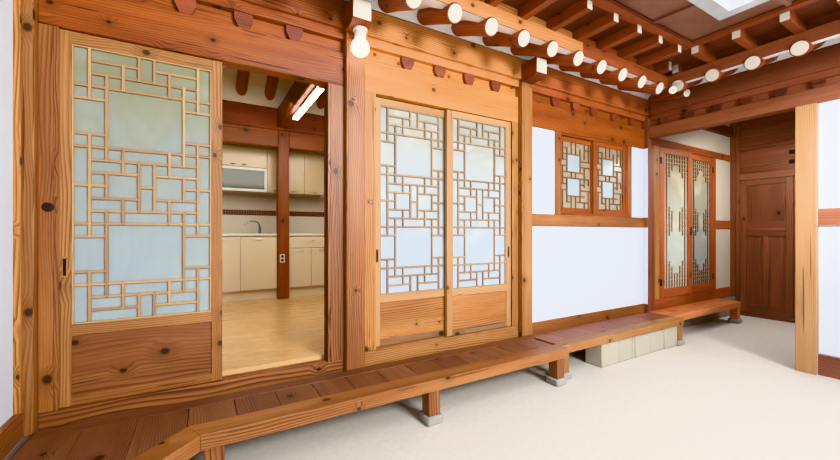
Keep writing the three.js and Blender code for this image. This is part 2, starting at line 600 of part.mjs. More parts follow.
// Gate frame with its threshold, transom and boarded top, and two panelled leaves
function makeGate() {
  const south = PASSAGE_LINE + 60 + FIT;
  const north = -HALF - FIT;
  const x0 = GATE.x - 2;
  const x1 = x0 + 120;
  const slab = block(x0, x1, south, north, 0, 3300);
  const frame = cut(slab, [
    block(x0 - 10, x1 + 10, GATE.south, GATE.north, GATE.low, GATE.high),
    block(x0 - 10, x0 + 40, GATE.south, GATE.north, 2320, 2860),
    block(x1 - 40, x1 + 10, GATE.south, GATE.north, 2320, 2860),
    block(x0 - 10, x0 + 25, GATE.south, GATE.north, 2960, 3290),
  ]);
  const post = block(GATE_LINE - HALF, GATE_LINE + HALF, north - 1, HALF, FOUNDATION_TOP + FIT, BLOCK_HIGH - FIT);
  add('gate_frame', join([frame, post]), wood(DARK_PINE));
  const gap = 5;
  const mid = (GATE.north + GATE.south) / 2;
  gateLeaf('gate_leaf_north', mid + gap / 2, GATE.north - gap, GATE.north - gap - 14);
  gateLeaf('gate_leaf_south', GATE.south + gap, mid - gap / 2, GATE.south + gap + 14);
}

function gateLeaf(name, y0, y1, pinY) {
  const low = GATE.low + 6;
  const high = GATE.high - 6;
  const stile = 85;
  const sunk = 12;
  const x0 = GATE.x;
  const x1 = x0 + GATE.thick;
  const mid = (y0 + y1) / 2;
  const cells = [[y0 + stile, y1 - stile, 1530, high - 90], [y0 + stile, mid - 35, low + 110, 1300], [mid + 35, y1 - stile, low + 110, 1300]];
  const tools = [];
  for (const [a, b, z0, z1] of cells) {
    tools.push(block(x0 - 5, x0 + sunk, a, b, z0, z1));
    tools.push(block(x1 - sunk, x1 + 5, a, b, z0, z1));
  }
  const pin = block(x0 + 4, x0 + 20, pinY - 8, pinY + 8, GATE.low + FIT, low + 5);
  add(name, join([cut(block(x0, x1, y0, y1, low, high), tools), pin]), wood(DARK_PINE));
}

// One run of walls drawn in plan: a plaster core, and timber rails and posts that stand proud
function framedWalls(core, band, low, rails, posts, tools) {
  const pieces = [upward(core, low + 5, 3900)];
  for (const [z0, z1, own] of rails) pieces.push(upward(own || band, z0, z1));
  const foot = rails[0][1] - 12;
  for (const [x0, x1, y0, y1, top] of posts) pieces.push(block(x0, x1, y0, y1, foot, top || 3900));
  return cut(join(pieces), [...tools, aboveDeck()]);
}

const wallPosts = {
  west: (y) => [WALL.west - 34, WALL.west + 50, y - 65, y + 65],
  east: (y) => [WALL.east - 50, WALL.east + 34, y - 65, y + 65],
  south: (x) => [x - 65, x + 65, WALL.south - 34, WALL.south + 50, LINTEL_HIGH],
  north: (x) => [x - 65, x + 65, WALL.north - 50, WALL.north + 34],
};

function makeOuterWalls() {
  const low = FOUNDATION_TOP + FIT;
  const rails = [[low, FLOOR_TOP], [RAIL_LOW, RAIL_HIGH], [LINTEL_LOW, LINTEL_HIGH - 80]];
  const thick = WALL.thick;
  const windows = [[4000, 5200], [6500, 7700]];
  const holes = windows.map(([a, b]) => block(a, b, 3000, 4000, RAIL_HIGH + 30, 2380));
  const inside = WALL.north - thick;
  const core = [
    [WALL.west, inside], [WALL.east - thick, inside], [WALL.east - thick, HALF + 2], [WALL.east, HALF + 2],
    [WALL.east, WALL.north], [WALL.west, WALL.north],
  ];
  const band = [
    [WALL.west - 30, inside + 20], [WALL.east - 60, inside + 20], [WALL.east - 60, HALF + FIT],
    [WALL.east + 30, HALF + FIT], [WALL.east + 30, WALL.north + 30], [WALL.west - 30, WALL.north + 30],
  ];
  const posts = [-2700, -1100, 700, 2500, 3800, 5850, 7850].map(wallPosts.north);
  posts.push([WALL.east - 70, WALL.east + 34, WALL.north - 70, WALL.north + 34], wallPosts.east(1750));
  add('back_wall', framedWalls(core, band, low, rails, posts, holes), plaster());
  const pane = block(windows[0][0] - 60, windows[1][1] + 60, inside - FIT - 6, inside - FIT, RAIL_HIGH, 2410);
  add('back_windows', pane, paperGlass());
  makeWestWalls(low, rails);
  makeEastWalls();
}

function makeWestWalls(low, rails) {
  const thick = WALL.thick;
  const court = -15;
  const top = WALL.north - thick - FIT;
  const north = -HALF - FIT;
  const core = [
    [court, north - 2], [court, WALL.south], [WALL.west, WALL.south], [WALL.west, top - 2],
    [WALL.west + thick, top - 2], [WALL.west + thick, WALL.south + thick],
    [court - thick, WALL.south + thick], [court - thick, north - 2],
  ];
  const band = [
    [court + 30, north], [court + 30, WALL.south - 30], [WALL.west - 30, WALL.south - 30], [WALL.west - 30, top],
    [WALL.west + 60, top], [WALL.west + 60, WALL.south + 60], [court - 60, WALL.south + 60], [court - 60, north],
  ];
  // The court side is plain plaster north of its post, and has no rail under its beam
  const partBand = band.map(([x, y], i) => [x, i === 0 || i === band.length - 1 ? -1825 : y]);
  const noCourt = [
    [court - 1, WALL.south - 30], [WALL.west - 30, WALL.south - 30], [WALL.west - 30, top],
    [WALL.west + 60, top], [WALL.west + 60, WALL.south + 60], [court - 1, WALL.south + 60],
  ];
  const ownRails = [rails[0], [...rails[1], partBand], [...rails[2], noCourt]];
  const posts = [-1800, 0, 1750].map(wallPosts.west);
  posts.push(
    [court - 50, court + 34, -1890, -1760, EAST_LINTEL_LOW - 5],
    [WALL.west - 34, WALL.west + 70, WALL.south - 34, WALL.south + 70, LINTEL_HIGH],
    [court - 70, court + 34, WALL.south - 34, WALL.south + 70, LINTEL_HIGH],
    wallPosts.south(WEST_RIDGE_X),
  );
  const beam = SOUTH_LINE + 30;
  const tools = [
    block(-120, 80, beam, 0, EAST_LINTEL_LOW, 4000),
    block(-76, 61, WALL.south - 50, beam + 20, BLOCK_HIGH - 1, PURLIN_HIGH + 1),
    block(-150, 60, -3050, -2150, RAIL_HIGH + 30, 2400),
  ];
  add('west_walls', framedWalls(core, band, low, ownRails, posts, tools), plaster());
  const back = court - thick - FIT;
  add('west_window', block(back - 6, back, -3110, -2090, RAIL_HIGH, 2430), paperGlass());
}

// The room south of the passage, with a partition beside the gate
function makeEastWalls() {
  const thick = WALL.thick;
  const low = 0;
  const rails = [[low, 200], [RAIL_LOW, RAIL_HIGH + 30], [EAST_LINTEL_LOW, EAST_LINTEL_HIGH]];
  const court = COLUMN_X[3] - 25;
  const post = PASSAGE_LINE - HALF - FIT;
  const side = COLUMN_X[3] + HALF + FIT;
  const passage = PASSAGE_LINE + 30;
  const core = [
    [court, post - 2], [court, WALL.south], [WALL.east, WALL.south], [WALL.east, passage], [side, passage],
    [side, passage - thick], [WALL.east - thick, passage - thick], [WALL.east - thick, WALL.south + thick],
    [court + thick, WALL.south + thick], [court + thick, post - 2],
  ];
  const band = [
    [court - 30, post], [court - 30, WALL.south - 30], [WALL.east + 30, WALL.south - 30], [WALL.east + 30, passage - 2],
    [WALL.east - 60, passage - 2], [WALL.east - 60, WALL.south + 60], [court + 60, WALL.south + 60], [court + 60, post],
  ];
  const posts = [
    wallPosts.east(-1640),
    [WALL.east - 70, WALL.east + 34, WALL.south - 34, WALL.south + 70, LINTEL_HIGH],
    [court - 34, court + 70, WALL.south - 34, WALL.south + 70, EAST_LINTEL_LOW - 40],
    wallPosts.south(EAST_RIDGE_X),
  ];
  const beam = SOUTH_LINE + 30;
  const tools = [
    block(court - 80, side - 2, beam, 0, EAST_LINTEL_LOW - FIT, 4000),
    block(court - 80, side + 1, WALL.south - 50, beam + 20, BLOCK_HIGH - 1, PURLIN_HIGH + 1),
  ];
  add('east_walls', framedWalls(core, band, low, rails, posts, tools), plaster());
}

// Kitchen units along the back wall: base units with a worktop, a splash board and wall units
function makeKitchen() {
  const cream = new THREE.MeshStandardMaterial({ color: 0xd8c8a4, roughness: 0.45, metalness: 0 });
  const back = BACK_LINE - 20 - FIT;
  const x0 = 280;
  const x1 = 2900;
  const units = join([
    block(x0, x1, INNER_LINE, back, FLOOR_TOP + FIT, 1312),
    block(x0, x1, INNER_LINE - 12, back, 1310, 1342),
    block(x0, x1, back - 12, back, 1340, 1960),
    block(x0, x1, back - 330, back, 1950, 2560),
  ]);
  const clear = HALF + FIT;
  const post = block(COLUMN_X[1] - clear, COLUMN_X[1] + clear, INNER_LINE - 30, INNER_LINE + clear, 400, 1400);
  add('kitchen_units', cut(units, [post]), cream);
}

function makeLamp() {
  const cup = new THREE.CylinderGeometry(55, 55, 70, 16).rotateX(Math.PI / 2).translate(0, 0, -35);
  const bulb = new THREE.SphereGeometry(70, 16, 10).translate(0, 0, -134);
  const lamp = add('porch_lamp', join([cup, bulb]), new THREE.MeshStandardMaterial({ color: 0xf4f1e6, roughness: 0.3 }));
  lamp.position.set(COLUMN_X[1] + 5, -150, NOSE_LOW - FIT);
}

makeBase();
makePorch();
makeColumns();
makeBeams();
makeSlidingDoors();
makeBayC();
makeBayD();
makeGate();
makeOuterWalls();
makeRafters();
makeRoofs();
makeRidge();
makeCanopy();
makeKitchen();
makeLamp();

const centreX = (WEST_RIDGE_X + EAST_RIDGE_X) / 2;
const centreY = (SOUTH_EDGE + RIDGE_Y + ROOF_EDGE) / 2;
house.position.set(-centreX, -centreY, 0);

export default house;
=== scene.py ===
"""Looks of the courtyard house: timber, lattice doors, tiles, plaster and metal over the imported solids.

Lengths are design millimetres, measured from the first column of the main front, and `at` turns
them into metres in the row frame. +X runs right, +Y into the main wing, +Z up.
"""
import math
import random

import bpy
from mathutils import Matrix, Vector, noise


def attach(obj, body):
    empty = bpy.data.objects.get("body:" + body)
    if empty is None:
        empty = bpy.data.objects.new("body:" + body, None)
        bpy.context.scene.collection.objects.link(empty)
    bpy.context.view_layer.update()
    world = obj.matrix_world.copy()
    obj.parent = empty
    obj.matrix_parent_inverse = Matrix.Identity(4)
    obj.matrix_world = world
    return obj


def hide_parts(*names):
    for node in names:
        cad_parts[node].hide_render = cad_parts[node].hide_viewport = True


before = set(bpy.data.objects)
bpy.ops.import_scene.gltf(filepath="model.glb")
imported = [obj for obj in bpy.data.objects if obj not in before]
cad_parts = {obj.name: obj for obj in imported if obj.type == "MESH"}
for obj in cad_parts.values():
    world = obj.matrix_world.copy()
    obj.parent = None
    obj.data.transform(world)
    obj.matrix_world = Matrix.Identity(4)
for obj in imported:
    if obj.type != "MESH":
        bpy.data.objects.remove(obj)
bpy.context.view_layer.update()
rng = random.Random(7)
noise.seed_set(7)
scene = bpy.context.scene
scene.view_settings.view_transform = "Khronos PBR Neutral"

# Column lines, and the gap that a piece keeps from the solids beside it
COLUMN_X = [-19, 1820, 3640, 5925]
INNER_LINE, BACK_LINE, GATE_LINE = 2835, 3475, 8535
PASSAGE_LINE, SOUTH_LINE, SOUTH_EDGE = -1545, -3600, -4040
HALF, GAP = 75, 0.3
EDGE = HALF + GAP
BAY_ENDS = [-HALF, COLUMN_X[1], COLUMN_X[2], COLUMN_X[3] + HALF]
FRONT, BACK = -25, 25

# Heights
FOUNDATION_TOP, PORCH_TOP, FLOOR_TOP = 300, 324, 420
RAIL_LOW, RAIL_HIGH = 1424, 1554
LINTEL_LOW, LINTEL_HIGH, BLOCK_HIGH = 2460, 2720, 2822
EAST_LOW, EAST_HIGH, SUPPORT_HIGH = 2594, 2740, 2892
NOSE_LOW, NOSE_HIGH = 2864, 3040

# Roof lines: distances run from a ridge towards its eaves
RIDGE_Y, WEST_RIDGE, EAST_RIDGE, RIDGE_Z = 1415, -1415, 7340, 4240
RAFTER_END, RAFTER_Z, RAFTER_RADIUS, SLOPE = 1943, 2996, 72, 0.404
PITCH, FIRST_RAFTER = 351, 314
WING_RAFTERS = {"west": (-665, 351), "east": (-627, 330)}
END_DROP = {"main": 26, "west": 13, "east": 0}
STRIP_WIDE, STRIP_LOW, STRIP_TOP = 64, 3020, 3136
# The first value below is where the main wing's court strip changes from painted sunlight on its left to
# painted shade on its right
STRIP_SHADE_EDGE, FAR = 3890, 99999
FLY_END, FLY_Z, FLY_WIDE, FLY_TALL, ROOF_EDGE = 2307, 3184, 70, 104, 2375
FLY_ROOF = FLY_Z + FLY_TALL / 2
CEILING_OVER = 30
DIAGONAL = 0.7071


def axis_z(out):
    return RAFTER_Z + SLOPE * (RAFTER_END - abs(out))


def tile_z(out):
    return 4330 - 0.55 * out + 4.89e-5 * out * out


PURLIN_HIGH = axis_z(RIDGE_Y + HALF) - RAFTER_RADIUS * math.hypot(1, SLOPE)


def at(point):
    x, y, z = point
    return Vector((x / 1000 - 2.9625, y / 1000 + 0.125, z / 1000))


# ---------------------------------------------------------------- materials

class Value:
    """A value in a material's nodes. Plain arithmetic joins it to others."""

    def __init__(self, nodes, socket):
        self.nodes, self.socket = nodes, socket

    def __add__(self, other):
        return self.nodes.math("ADD", self, other)

    def __sub__(self, other):
        return self.nodes.math("SUBTRACT", self, other)

    def __mul__(self, other):
        return self.nodes.math("MULTIPLY", self, other)

    def __truediv__(self, other):
        return self.nodes.math("DIVIDE", self, other)


class Nodes:
    """A short way to write a material's nodes."""

    def __init__(self, name):
        self.material = bpy.data.materials.new(name)
        self.material.use_nodes = True
        self.tree = self.material.node_tree
        self.surface = self.tree.nodes["Principled BSDF"]
        where = self.node("ShaderNodeTexCoord")
        self.place, self.map = where("Object"), where("UV")

    def node(self, kind, inputs=None, **settings):
        """Adds a node and returns a function that gives its outputs, by name or number."""
        node = self.tree.nodes.new(kind)
        for key, value in settings.items():
            setattr(node, key, value)
        for key, value in (inputs or {}).items():
            self.put(node.inputs[key], value)
        return lambda key=0: Value(self, node.outputs[key])

    def put(self, socket, value):
        if isinstance(value, Value):
            self.tree.links.new(value.socket, socket)
        elif isinstance(value, tuple) and len(value) < len(socket.default_value):
            socket.default_value = (*value, 1.0)
        else:
            socket.default_value = value

    def math(self, operation, *values):
        return self.node("ShaderNodeMath", dict(enumerate(values)), operation=operation)()

    def noise(self, vector, scale=1.0, detail=3.0, rough=0.5, distort=0.0):
        inputs = {"Vector": vector, "Scale": scale, "Detail": detail, "Roughness": rough, "Distortion": distort}
        return self.node("ShaderNodeTexNoise", inputs)("Fac")

    def vector(self, x, y, z=0.0):
        return self.node("ShaderNodeCombineXYZ", {0: x, 1: y, 2: z})()

    def split(self, vector):
        parts = self.node("ShaderNodeSeparateXYZ", {0: vector})
        return parts(0), parts(1), parts(2)

    def ramp(self, value, low, high, to_low=0.0, to_high=1.0):
        inputs = {"Value": value, "From Min": low, "From Max": high, "To Min": to_low, "To Max": to_high}
        return self.node("ShaderNodeMapRange", inputs, clamp=True)()

    def mix(self, factor, a, b):
        return self.node("ShaderNodeMix", {0: factor, 6: a, 7: b}, data_type="RGBA")(2)

    def wear(self, colour, tint, field, low, high, most=1.0):
        """Lays a tint over a colour as a field runs from low to high."""
        return self.mix(self.ramp(field, low, high, 0.0, most), colour, tint)

    def bricks(self, vector, one, two, joint, gap, smooth, width, height):
        return self.node("ShaderNodeTexBrick", {
            "Vector": vector, "Color1": one, "Color2": two, "Mortar": joint, "Scale": 1.0, "Mortar Size": gap,
            "Mortar Smooth": smooth, "Bias": 0.0, "Brick Width": width, "Row Height": height})

    def tone(self):
        """The tone of the part of the mesh that a face belongs to."""
        return self.node("ShaderNodeAttribute", attribute_name="tone")("Fac")

    def bump(self, height, strength, distance):
        inputs = {"Height": height, "Strength": strength, "Distance": distance}
        return self.node("ShaderNodeBump", inputs)()

    def finish(self, colour, rough, **more):
        """Joins up the surface and returns the material."""
        inputs = {"Base_Color": colour, "Roughness": rough, **more}
        for key, value in inputs.items():
            self.put(self.surface.inputs[key.replace("_", " ")], value)
        return self.material


def srgb(colour):
    """A colour given in 0-255 screen values, as linear light."""
    parts = [value / 255 for value in colour]
    return tuple(v / 12.92 if v <= 0.04045 else ((v + 0.055) / 1.055) ** 2.4 for v in parts)


def shade(colour, factor, lift=0.0):
    return tuple(c * factor + lift for c in colour)


def wood(name, pale, body, line, knots=1.0, rings=62.0, gloss=0.40, depth=1.0):
    """Sawn pine with its grain along the first direction of the piece's own map."""
    n = Nodes(name)
    pale, body, line = srgb(pale), srgb(body), srgb(line)
    dark = shade(line, 0.20)
    tone = n.tone()
    along, across, _ = n.split(n.map)
    seed = tone * 31.0

    def layer(u, v, detail=2.0, rough=0.5):
        return n.noise(n.vector(along * u, across * v, seed), 1.0, detail, rough)

    spots = n.node("ShaderNodeTexVoronoi", {"Vector": n.vector((along + seed) * 0.8, across), "Scale": 5.2},
                   voronoi_dimensions="2D")
    pick, girth, _ = n.split(spots("Color"))
    chosen = n.math("GREATER_THAN", pick, 1.0 - 0.30 * knots)
    reach = spots("Distance") / (girth * 0.10 + 0.05)
    knot = n.ramp(reach, 0.55, 1.0, 1.0, 0.0) * chosen
    near = n.ramp(reach, 0.6, 3.4, 1.0, 0.0) * chosen
    bent = across + (layer(0.8, 2.6) * 0.15 + near * 0.035)
    band = n.noise(n.vector(along * 0.3, bent * 4.0, seed), 1.0, 2.0)
    saw = n.math("FRACT", bent * rings + band * 9.0)
    late = n.ramp(saw, 0.35, 0.88) * n.ramp(saw, 0.92, 1.0, 1.0, 0.0)
    grain = late * n.ramp(layer(0.7, 5.0), 0.34, 0.64, 0.16, 0.95)
    fibre = layer(9.0, 300.0, 2.0, 0.6)
    cloud = layer(0.55, 1.6)
    dash = n.ramp(layer(2.6, 75.0, 1.0), 0.69, 0.74)
    check = n.ramp(layer(0.9, 46.0, 1.0), 0.73, 0.755)
    colour = n.wear(pale, body, layer(0.9, 11.0, 4.0, 0.6), 0.32, 0.70)
    colour = n.wear(colour, line, cloud, 0.42, 0.72, 0.42)
    colour = n.mix(grain, colour, line)
    colour = n.wear(colour, line, fibre, 0.38, 0.78, 0.26)
    colour = n.mix(near * 0.38, colour, line)
    for amount in (knot * 0.86, dash * (0.45 * knots), check * 0.7):
        colour = n.mix(amount, colour, dark)
    hue, value = n.ramp(tone, 0.0, 1.0, 0.494, 0.506), n.ramp(tone, 0.0, 1.0, 0.84, 1.12)
    tinted = n.node("ShaderNodeHueSaturation", {"Hue": hue, "Value": value, "Color": colour})
    height = fibre * 0.4 - (grain * 0.5 + check * 2.0)
    rough = n.ramp(grain, 0.0, 1.0, gloss, gloss + 0.12) + cloud * 0.12
    return n.finish(tinted(), rough, Normal=n.bump(height, 0.4 * depth, 0.0014), Specular_IOR_Level=0.42)


def painted(name, colour, rough, speckle, bump, scale, metal=0.0):
    n, colour = Nodes(name), srgb(colour)
    fine = n.noise(n.place, scale, 4.0, 0.6)
    amount = fine * speckle + n.noise(n.place, 1.7) * (speckle * 1.5)
    shaded = n.mix(amount, colour, shade(colour, 0.45))
    return n.finish(shaded, n.ramp(fine, 0.2, 0.8, rough - 0.06, rough + 0.06),
                    Normal=n.bump(fine, bump, 0.0015), Metallic=metal)


def plaster(name, colour):
    n, colour = Nodes(name), srgb(colour)
    trowel = n.noise(n.place, 3.5, 5.0, 0.55, 0.6)
    sand = n.noise(n.place, 210.0, 3.0, 0.6)
    stained = tuple(c * f for c, f in zip(colour, (0.86, 0.85, 0.82)))
    shaded = n.wear(colour, shade(colour, 0.88), trowel, 0.3, 0.8, 0.3)
    shaded = n.wear(shaded, stained, n.noise(n.place, 0.9, 4.0, 0.6), 0.5, 0.85, 0.35)
    return n.finish(shaded, 0.88, Normal=n.bump(sand * 0.4 + trowel * 0.8, 0.25, 0.002))


def pane(name, low, high, reflection_patch, rough):
    """Frosted glass over paper. The wash that changes with height, from the low to the high colour, is a
    painted reflection of the court, and the third colour laid over it in clouds is a painted reflection of
    sunlit walls; the fine clouding is the frost's own.
    """
    n = Nodes(name)
    low, high, reflection_patch = srgb(low), srgb(high), srgb(reflection_patch)
    cloud = n.noise(n.place, 2.6, 3.0, 0.5, 0.8)
    fine = n.noise(n.node("ShaderNodeMapping", {"Vector": n.place, "Scale": (38.0, 38.0, 6.0)})())
    # painted reflection: the wash runs from the low colour at the foot of the pane to the high colour at its
    # head, broken by clouds
    reflection_rise = n.ramp(n.split(n.place)[2], 0.9, 2.35) + (cloud - 0.5) * 0.9
    wash = n.wear(low, high, reflection_rise, 0.25, 0.95)
    # painted reflection: bright clouds of the third colour
    wash = n.wear(wash, reflection_patch, cloud, 0.52, 0.72, 0.35)
    wash = n.wear(wash, shade(high, 0.8), fine, 0.4, 0.8, 0.12)
    return n.finish(wash, n.ramp(cloud, 0.3, 0.8, rough, rough + 0.12), Normal=n.bump(fine, 0.05, 0.001),
                    Specular_IOR_Level=0.6, Coat_Weight=0.35, Coat_Roughness=0.08)


def stone(name, colour, mortar, course=3.0, length=3.0):
    """Dressed stone in courses on upright faces."""
    n, colour = Nodes(name), srgb(colour)
    x, y, z = n.split(n.place)
    wall = n.bricks(n.vector(x + y, z), colour, shade(colour, 0.8), srgb(mortar), 0.006, 0.4, length, course)
    speck = n.noise(n.place, 130.0, 4.0, 0.7)
    shaded = n.wear(wall("Color"), shade(colour, 0.55), speck, 0.35, 0.75, 0.4)
    shaded = n.wear(shaded, shade(colour, 0.7), n.noise(n.place, 5.0, 4.0), 0.4, 0.8, 0.3)
    return n.finish(shaded, 0.9, Normal=n.bump(speck * 0.4 - wall("Fac"), 0.6, 0.004))


def tile(name, colour):
    n, colour = Nodes(name), srgb(colour)
    bloom = n.noise(n.place, 9.0, 5.0, 0.6)
    grit = n.noise(n.place, 160.0, 3.0, 0.6)
    shaded = n.wear(colour, shade(colour, 1.9, 0.01), bloom, 0.35, 0.75)
    shaded = n.wear(shaded, shade(colour, 0.4), grit, 0.45, 0.8, 0.35)
    value = n.ramp(n.tone(), 0.0, 1.0, 0.75, 1.3)
    tinted = n.node("ShaderNodeHueSaturation", {"Value": value, "Color": shaded})
    return n.finish(tinted(), n.ramp(bloom, 0.3, 0.8, 0.55, 0.75),
                    Normal=n.bump(bloom * 0.5 + grit * 0.5, 0.4, 0.002))


def planks(name, colour, dark):
    """Laminate boards of 120 by 900 mm on the floor of the rooms."""
    n, colour, dark = Nodes(name), srgb(colour), srgb(dark)
    x, y, _ = n.split(n.place)
    boards = n.bricks(n.vector(x, y), (0, 0, 0), (1, 1, 1), (0.5, 0.5, 0.5), 0.0012, 0.1, 0.9, 0.12)
    each = n.split(boards("Color"))[0]
    grain = n.noise(n.vector(x * 2.2, y * 30.0, each * 9.0), 1.0, 4.0, 0.6)
    cloud = n.noise(n.vector(x * 1.6, y * 5.0, each), 1.0, 2.0)
    shaded = n.wear(colour, dark, grain, 0.35, 0.72, 0.55)
    shaded = n.wear(shaded, dark, cloud, 0.45, 0.75, 0.35)
    shaded = n.mix(boards("Fac") * 0.6, shaded, shade(dark, 0.45))
    return n.finish(shaded, n.ramp(grain, 0.3, 0.7, 0.24, 0.34), Normal=n.bump(boards("Fac"), -0.2, 0.001),
                    Coat_Weight=0.25, Coat_Roughness=0.15)


def sheet_metal(name, colour):
    """Painted sheet metal, dull and a little dusty."""
    n, colour = Nodes(name), srgb(colour)
    dust = n.noise(n.place, 2.3, 5.0, 0.6)
    shaded = n.wear(colour, shade(colour, 1.5, 0.02), dust, 0.35, 0.75)
    shaded = n.wear(shaded, shade(colour, 0.6), n.noise(n.place, 70.0), 0.5, 0.8, 0.25)
    return n.finish(shaded, n.ramp(dust, 0.3, 0.8, 0.38, 0.55), Normal=n.bump(dust, 0.12, 0.004), Metallic=0.25)


def glow(name, colour, strength):
    n, colour = Nodes(name), srgb(colour)
    shaded = n.wear(colour, shade(colour, 0.85), n.noise(n.place, 30.0, 2.0), 0.3, 0.8, 0.2)
    return n.finish(shaded, 0.25, Emission_Color=colour, Emission_Strength=strength)


def lattice_wood(name, pale, body, line):
    return wood(name, pale, body, line, knots=0.0, rings=140, depth=0.5)


HONEY = wood("timber_honey", (204, 148, 92), (180, 118, 66), (106, 60, 28), 1.1)
GOLD = wood("timber_gold", (246, 178, 100), (226, 146, 70), (136, 74, 30), 1.3)
HONEY_SMOOTH = wood("timber_honey_clear", (206, 166, 120), (188, 142, 98), (136, 90, 54), 0.35, 90)
BROWN = wood("timber_brown", (164, 108, 68), (136, 84, 52), (70, 38, 20), 1.2, 40)
BEARER = wood("timber_bearer", (160, 88, 62), (138, 70, 48), (92, 44, 30), 0.3)
# A light timber that stands for sunlit wood: painted sunlight on the left run of the main court strip; also
# used for the middle bay of the eave purlin
STRIP = wood("timber_strip", (224, 162, 106), (204, 136, 80), (138, 76, 40), 1.4)
RAFTER = wood("timber_rafter", (178, 102, 68), (150, 78, 50), (82, 40, 26), 0.5)
ORANGE = wood("timber_orange", (176, 98, 48), (148, 72, 32), (70, 30, 12), 1.5)
PINE = wood("timber_pine", (178, 120, 74), (150, 94, 54), (82, 43, 22), 1.1)
AGED = wood("timber_aged", (188, 136, 86), (164, 110, 64), (96, 54, 30), 1.1)
WORN = wood("timber_worn", (156, 118, 90), (132, 94, 68), (76, 49, 33), 0.9)
RED = wood("timber_red", (166, 108, 84), (140, 86, 64), (78, 44, 34), 0.6)
DARK = wood("timber_dark", (132, 80, 62), (106, 60, 45), (52, 27, 21), 0.5)
GATE = wood("timber_gate", (158, 104, 80), (130, 82, 60), (72, 42, 32), 0.4)
DECK = wood("timber_deck", (140, 96, 70), (118, 76, 54), (80, 49, 34), 0.6, 88, gloss=0.5)
INNER = wood("timber_inner", (158, 82, 42), (132, 62, 30), (74, 32, 14), 0.8)
DOOR_RED = wood("timber_door_red", (190, 110, 70), (164, 86, 52), (94, 45, 26), 0.8)
# A bright copy of the porch timber that stands for sunlight: painted sunlight on the boards and rim of the step
# porch at door D
SUNLIT_STEP = wood("timber_step_sunlit", (226, 146, 102), (200, 120, 78), (126, 68, 42), 0.6)
KNOT = wood("timber_knot", (74, 42, 26), (52, 28, 18), (26, 13, 9), 0.0, 210, depth=1.5)
LATTICE_TAN = lattice_wood("lattice_tan", (202, 166, 122), (180, 144, 102), (128, 94, 62))
LATTICE_GREY = lattice_wood("lattice_grey", (182, 154, 124), (158, 130, 102), (108, 84, 62))
LATTICE_DARK = lattice_wood("lattice_dark", (148, 112, 80), (124, 90, 62), (74, 50, 34))
LATTICE_BROWN = lattice_wood("lattice_brown", (150, 92, 52), (122, 70, 38), (70, 36, 20))
# White wall plaster with a blue tint laid in as painted shade under the sky
PLASTER = plaster("wall_plaster", (222, 231, 244))
# A darker, warmer copy of the wall plaster: painted shade on the wall around door D
SHADED_PLASTER = plaster("wall_plaster_shaded", (206, 194, 174))
CEILING = plaster("ceiling_plaster", (234, 222, 200))
SOFFIT = plaster("soffit_plaster", (244, 244, 244))
# Each pane's low and high colours make a painted reflection that changes with height, and its third colour
# gives painted reflections in clouds
PANE_A = pane("pane_west", (150, 163, 168), (140, 142, 116), (168, 182, 182), 0.16)
PANE_B = pane("pane_middle", (176, 188, 200), (160, 162, 152), (222, 230, 236), 0.10)
PANE_D = pane("pane_east", (168, 176, 166), (156, 148, 122), (224, 224, 212), 0.12)
PANE_C = pane("pane_window", (166, 152, 130), (156, 140, 116), (180, 170, 152), 0.2)
PANE_C_LIGHT = pane("pane_window_light", (168, 182, 192), (160, 174, 180), (184, 196, 204), 0.15)
STONE = stone("base_stone", (158, 150, 138), (118, 112, 104), 0.15, 0.55)
PAD = stone("pad_stone", (162, 158, 150), (138, 134, 126))
BLOCK = stone("block_stone", (184, 176, 160), (132, 126, 116))
TILE = tile("roof_tile", (72, 76, 82))
PAN = tile("roof_pan", (58, 61, 66))
RIDGE = tile("ridge_tile", (62, 65, 70))
SHEET = sheet_metal("canopy_sheet", (138, 102, 86))
GUTTER = sheet_metal("gutter_metal", (196, 200, 204))
FLOOR = planks("floor_boards", (226, 186, 132), (196, 146, 92))
WHITE_END = painted("end_white", (232, 229, 217), 0.75, 0.16, 0.4, 90.0)
CREAM = painted("kitchen_front", (228, 212, 182), 0.22, 0.04, 0.03, 12.0)
# A darker copy of the kitchen front: painted shade on the wall units
CREAM_SHADED = painted("kitchen_front_shaded", (210, 187, 150), 0.22, 0.04, 0.03, 12.0)
WORKTOP = painted("kitchen_top", (232, 230, 222), 0.25, 0.08, 0.03, 120.0)
SPLASH = painted("kitchen_splash", (228, 218, 200), 0.2, 0.14, 0.05, 30.0)
# A darker copy of the splashback: painted shade on its upper band under the wall units
SPLASH_SHADED = painted("kitchen_splash_shaded", (204, 188, 168), 0.2, 0.14, 0.05, 30.0)
MOSAIC = painted("kitchen_mosaic", (112, 60, 46), 0.25, 0.35, 0.1, 160.0)
METAL = painted("brushed_metal", (190, 188, 182), 0.28, 0.08, 0.05, 200.0, metal=0.9)
IRON = painted("dark_iron", (46, 38, 34), 0.5, 0.3, 0.3, 140.0, metal=0.6)
SMOKED = painted("smoked_glass", (96, 104, 92), 0.1, 0.15, 0.02, 8.0)
CERAMIC = painted("lamp_ceramic", (222, 220, 206), 0.35, 0.08, 0.05, 60.0)
BULB = glow("lamp_bulb", (255, 250, 236), 7.0)
TUBE = glow("lamp_tube", (255, 252, 244), 16.0)


# ---------------------------------------------------------------- mesh helpers

class Shape:
    """Faces of one piece in design millimetres, each with a map in metres, a tone and a finish."""

    def __init__(self):
        self.points, self.faces, self.maps = [], [], []
        self.tones, self.finishes, self.smooth = [], [], []

    def add(self, points, faces, maps, tone, finishes, smooth=False):
        base = len(self.points)
        self.points.extend(points)
        self.faces.extend([base + i for i in face] for face in faces)
        self.maps.extend(maps)
        self.tones.extend([tone] * len(faces))
        self.finishes.extend(finishes)
        self.smooth.extend([smooth] * len(faces))


def centre_of(points):
    return sum((Vector(p) for p in points), Vector()) / len(points)


def normal_of(points):
    turns = (Vector(a).cross(Vector(b)) for a, b in zip(points, points[1:] + points[:1]))
    return sum(turns, Vector()).normalized()


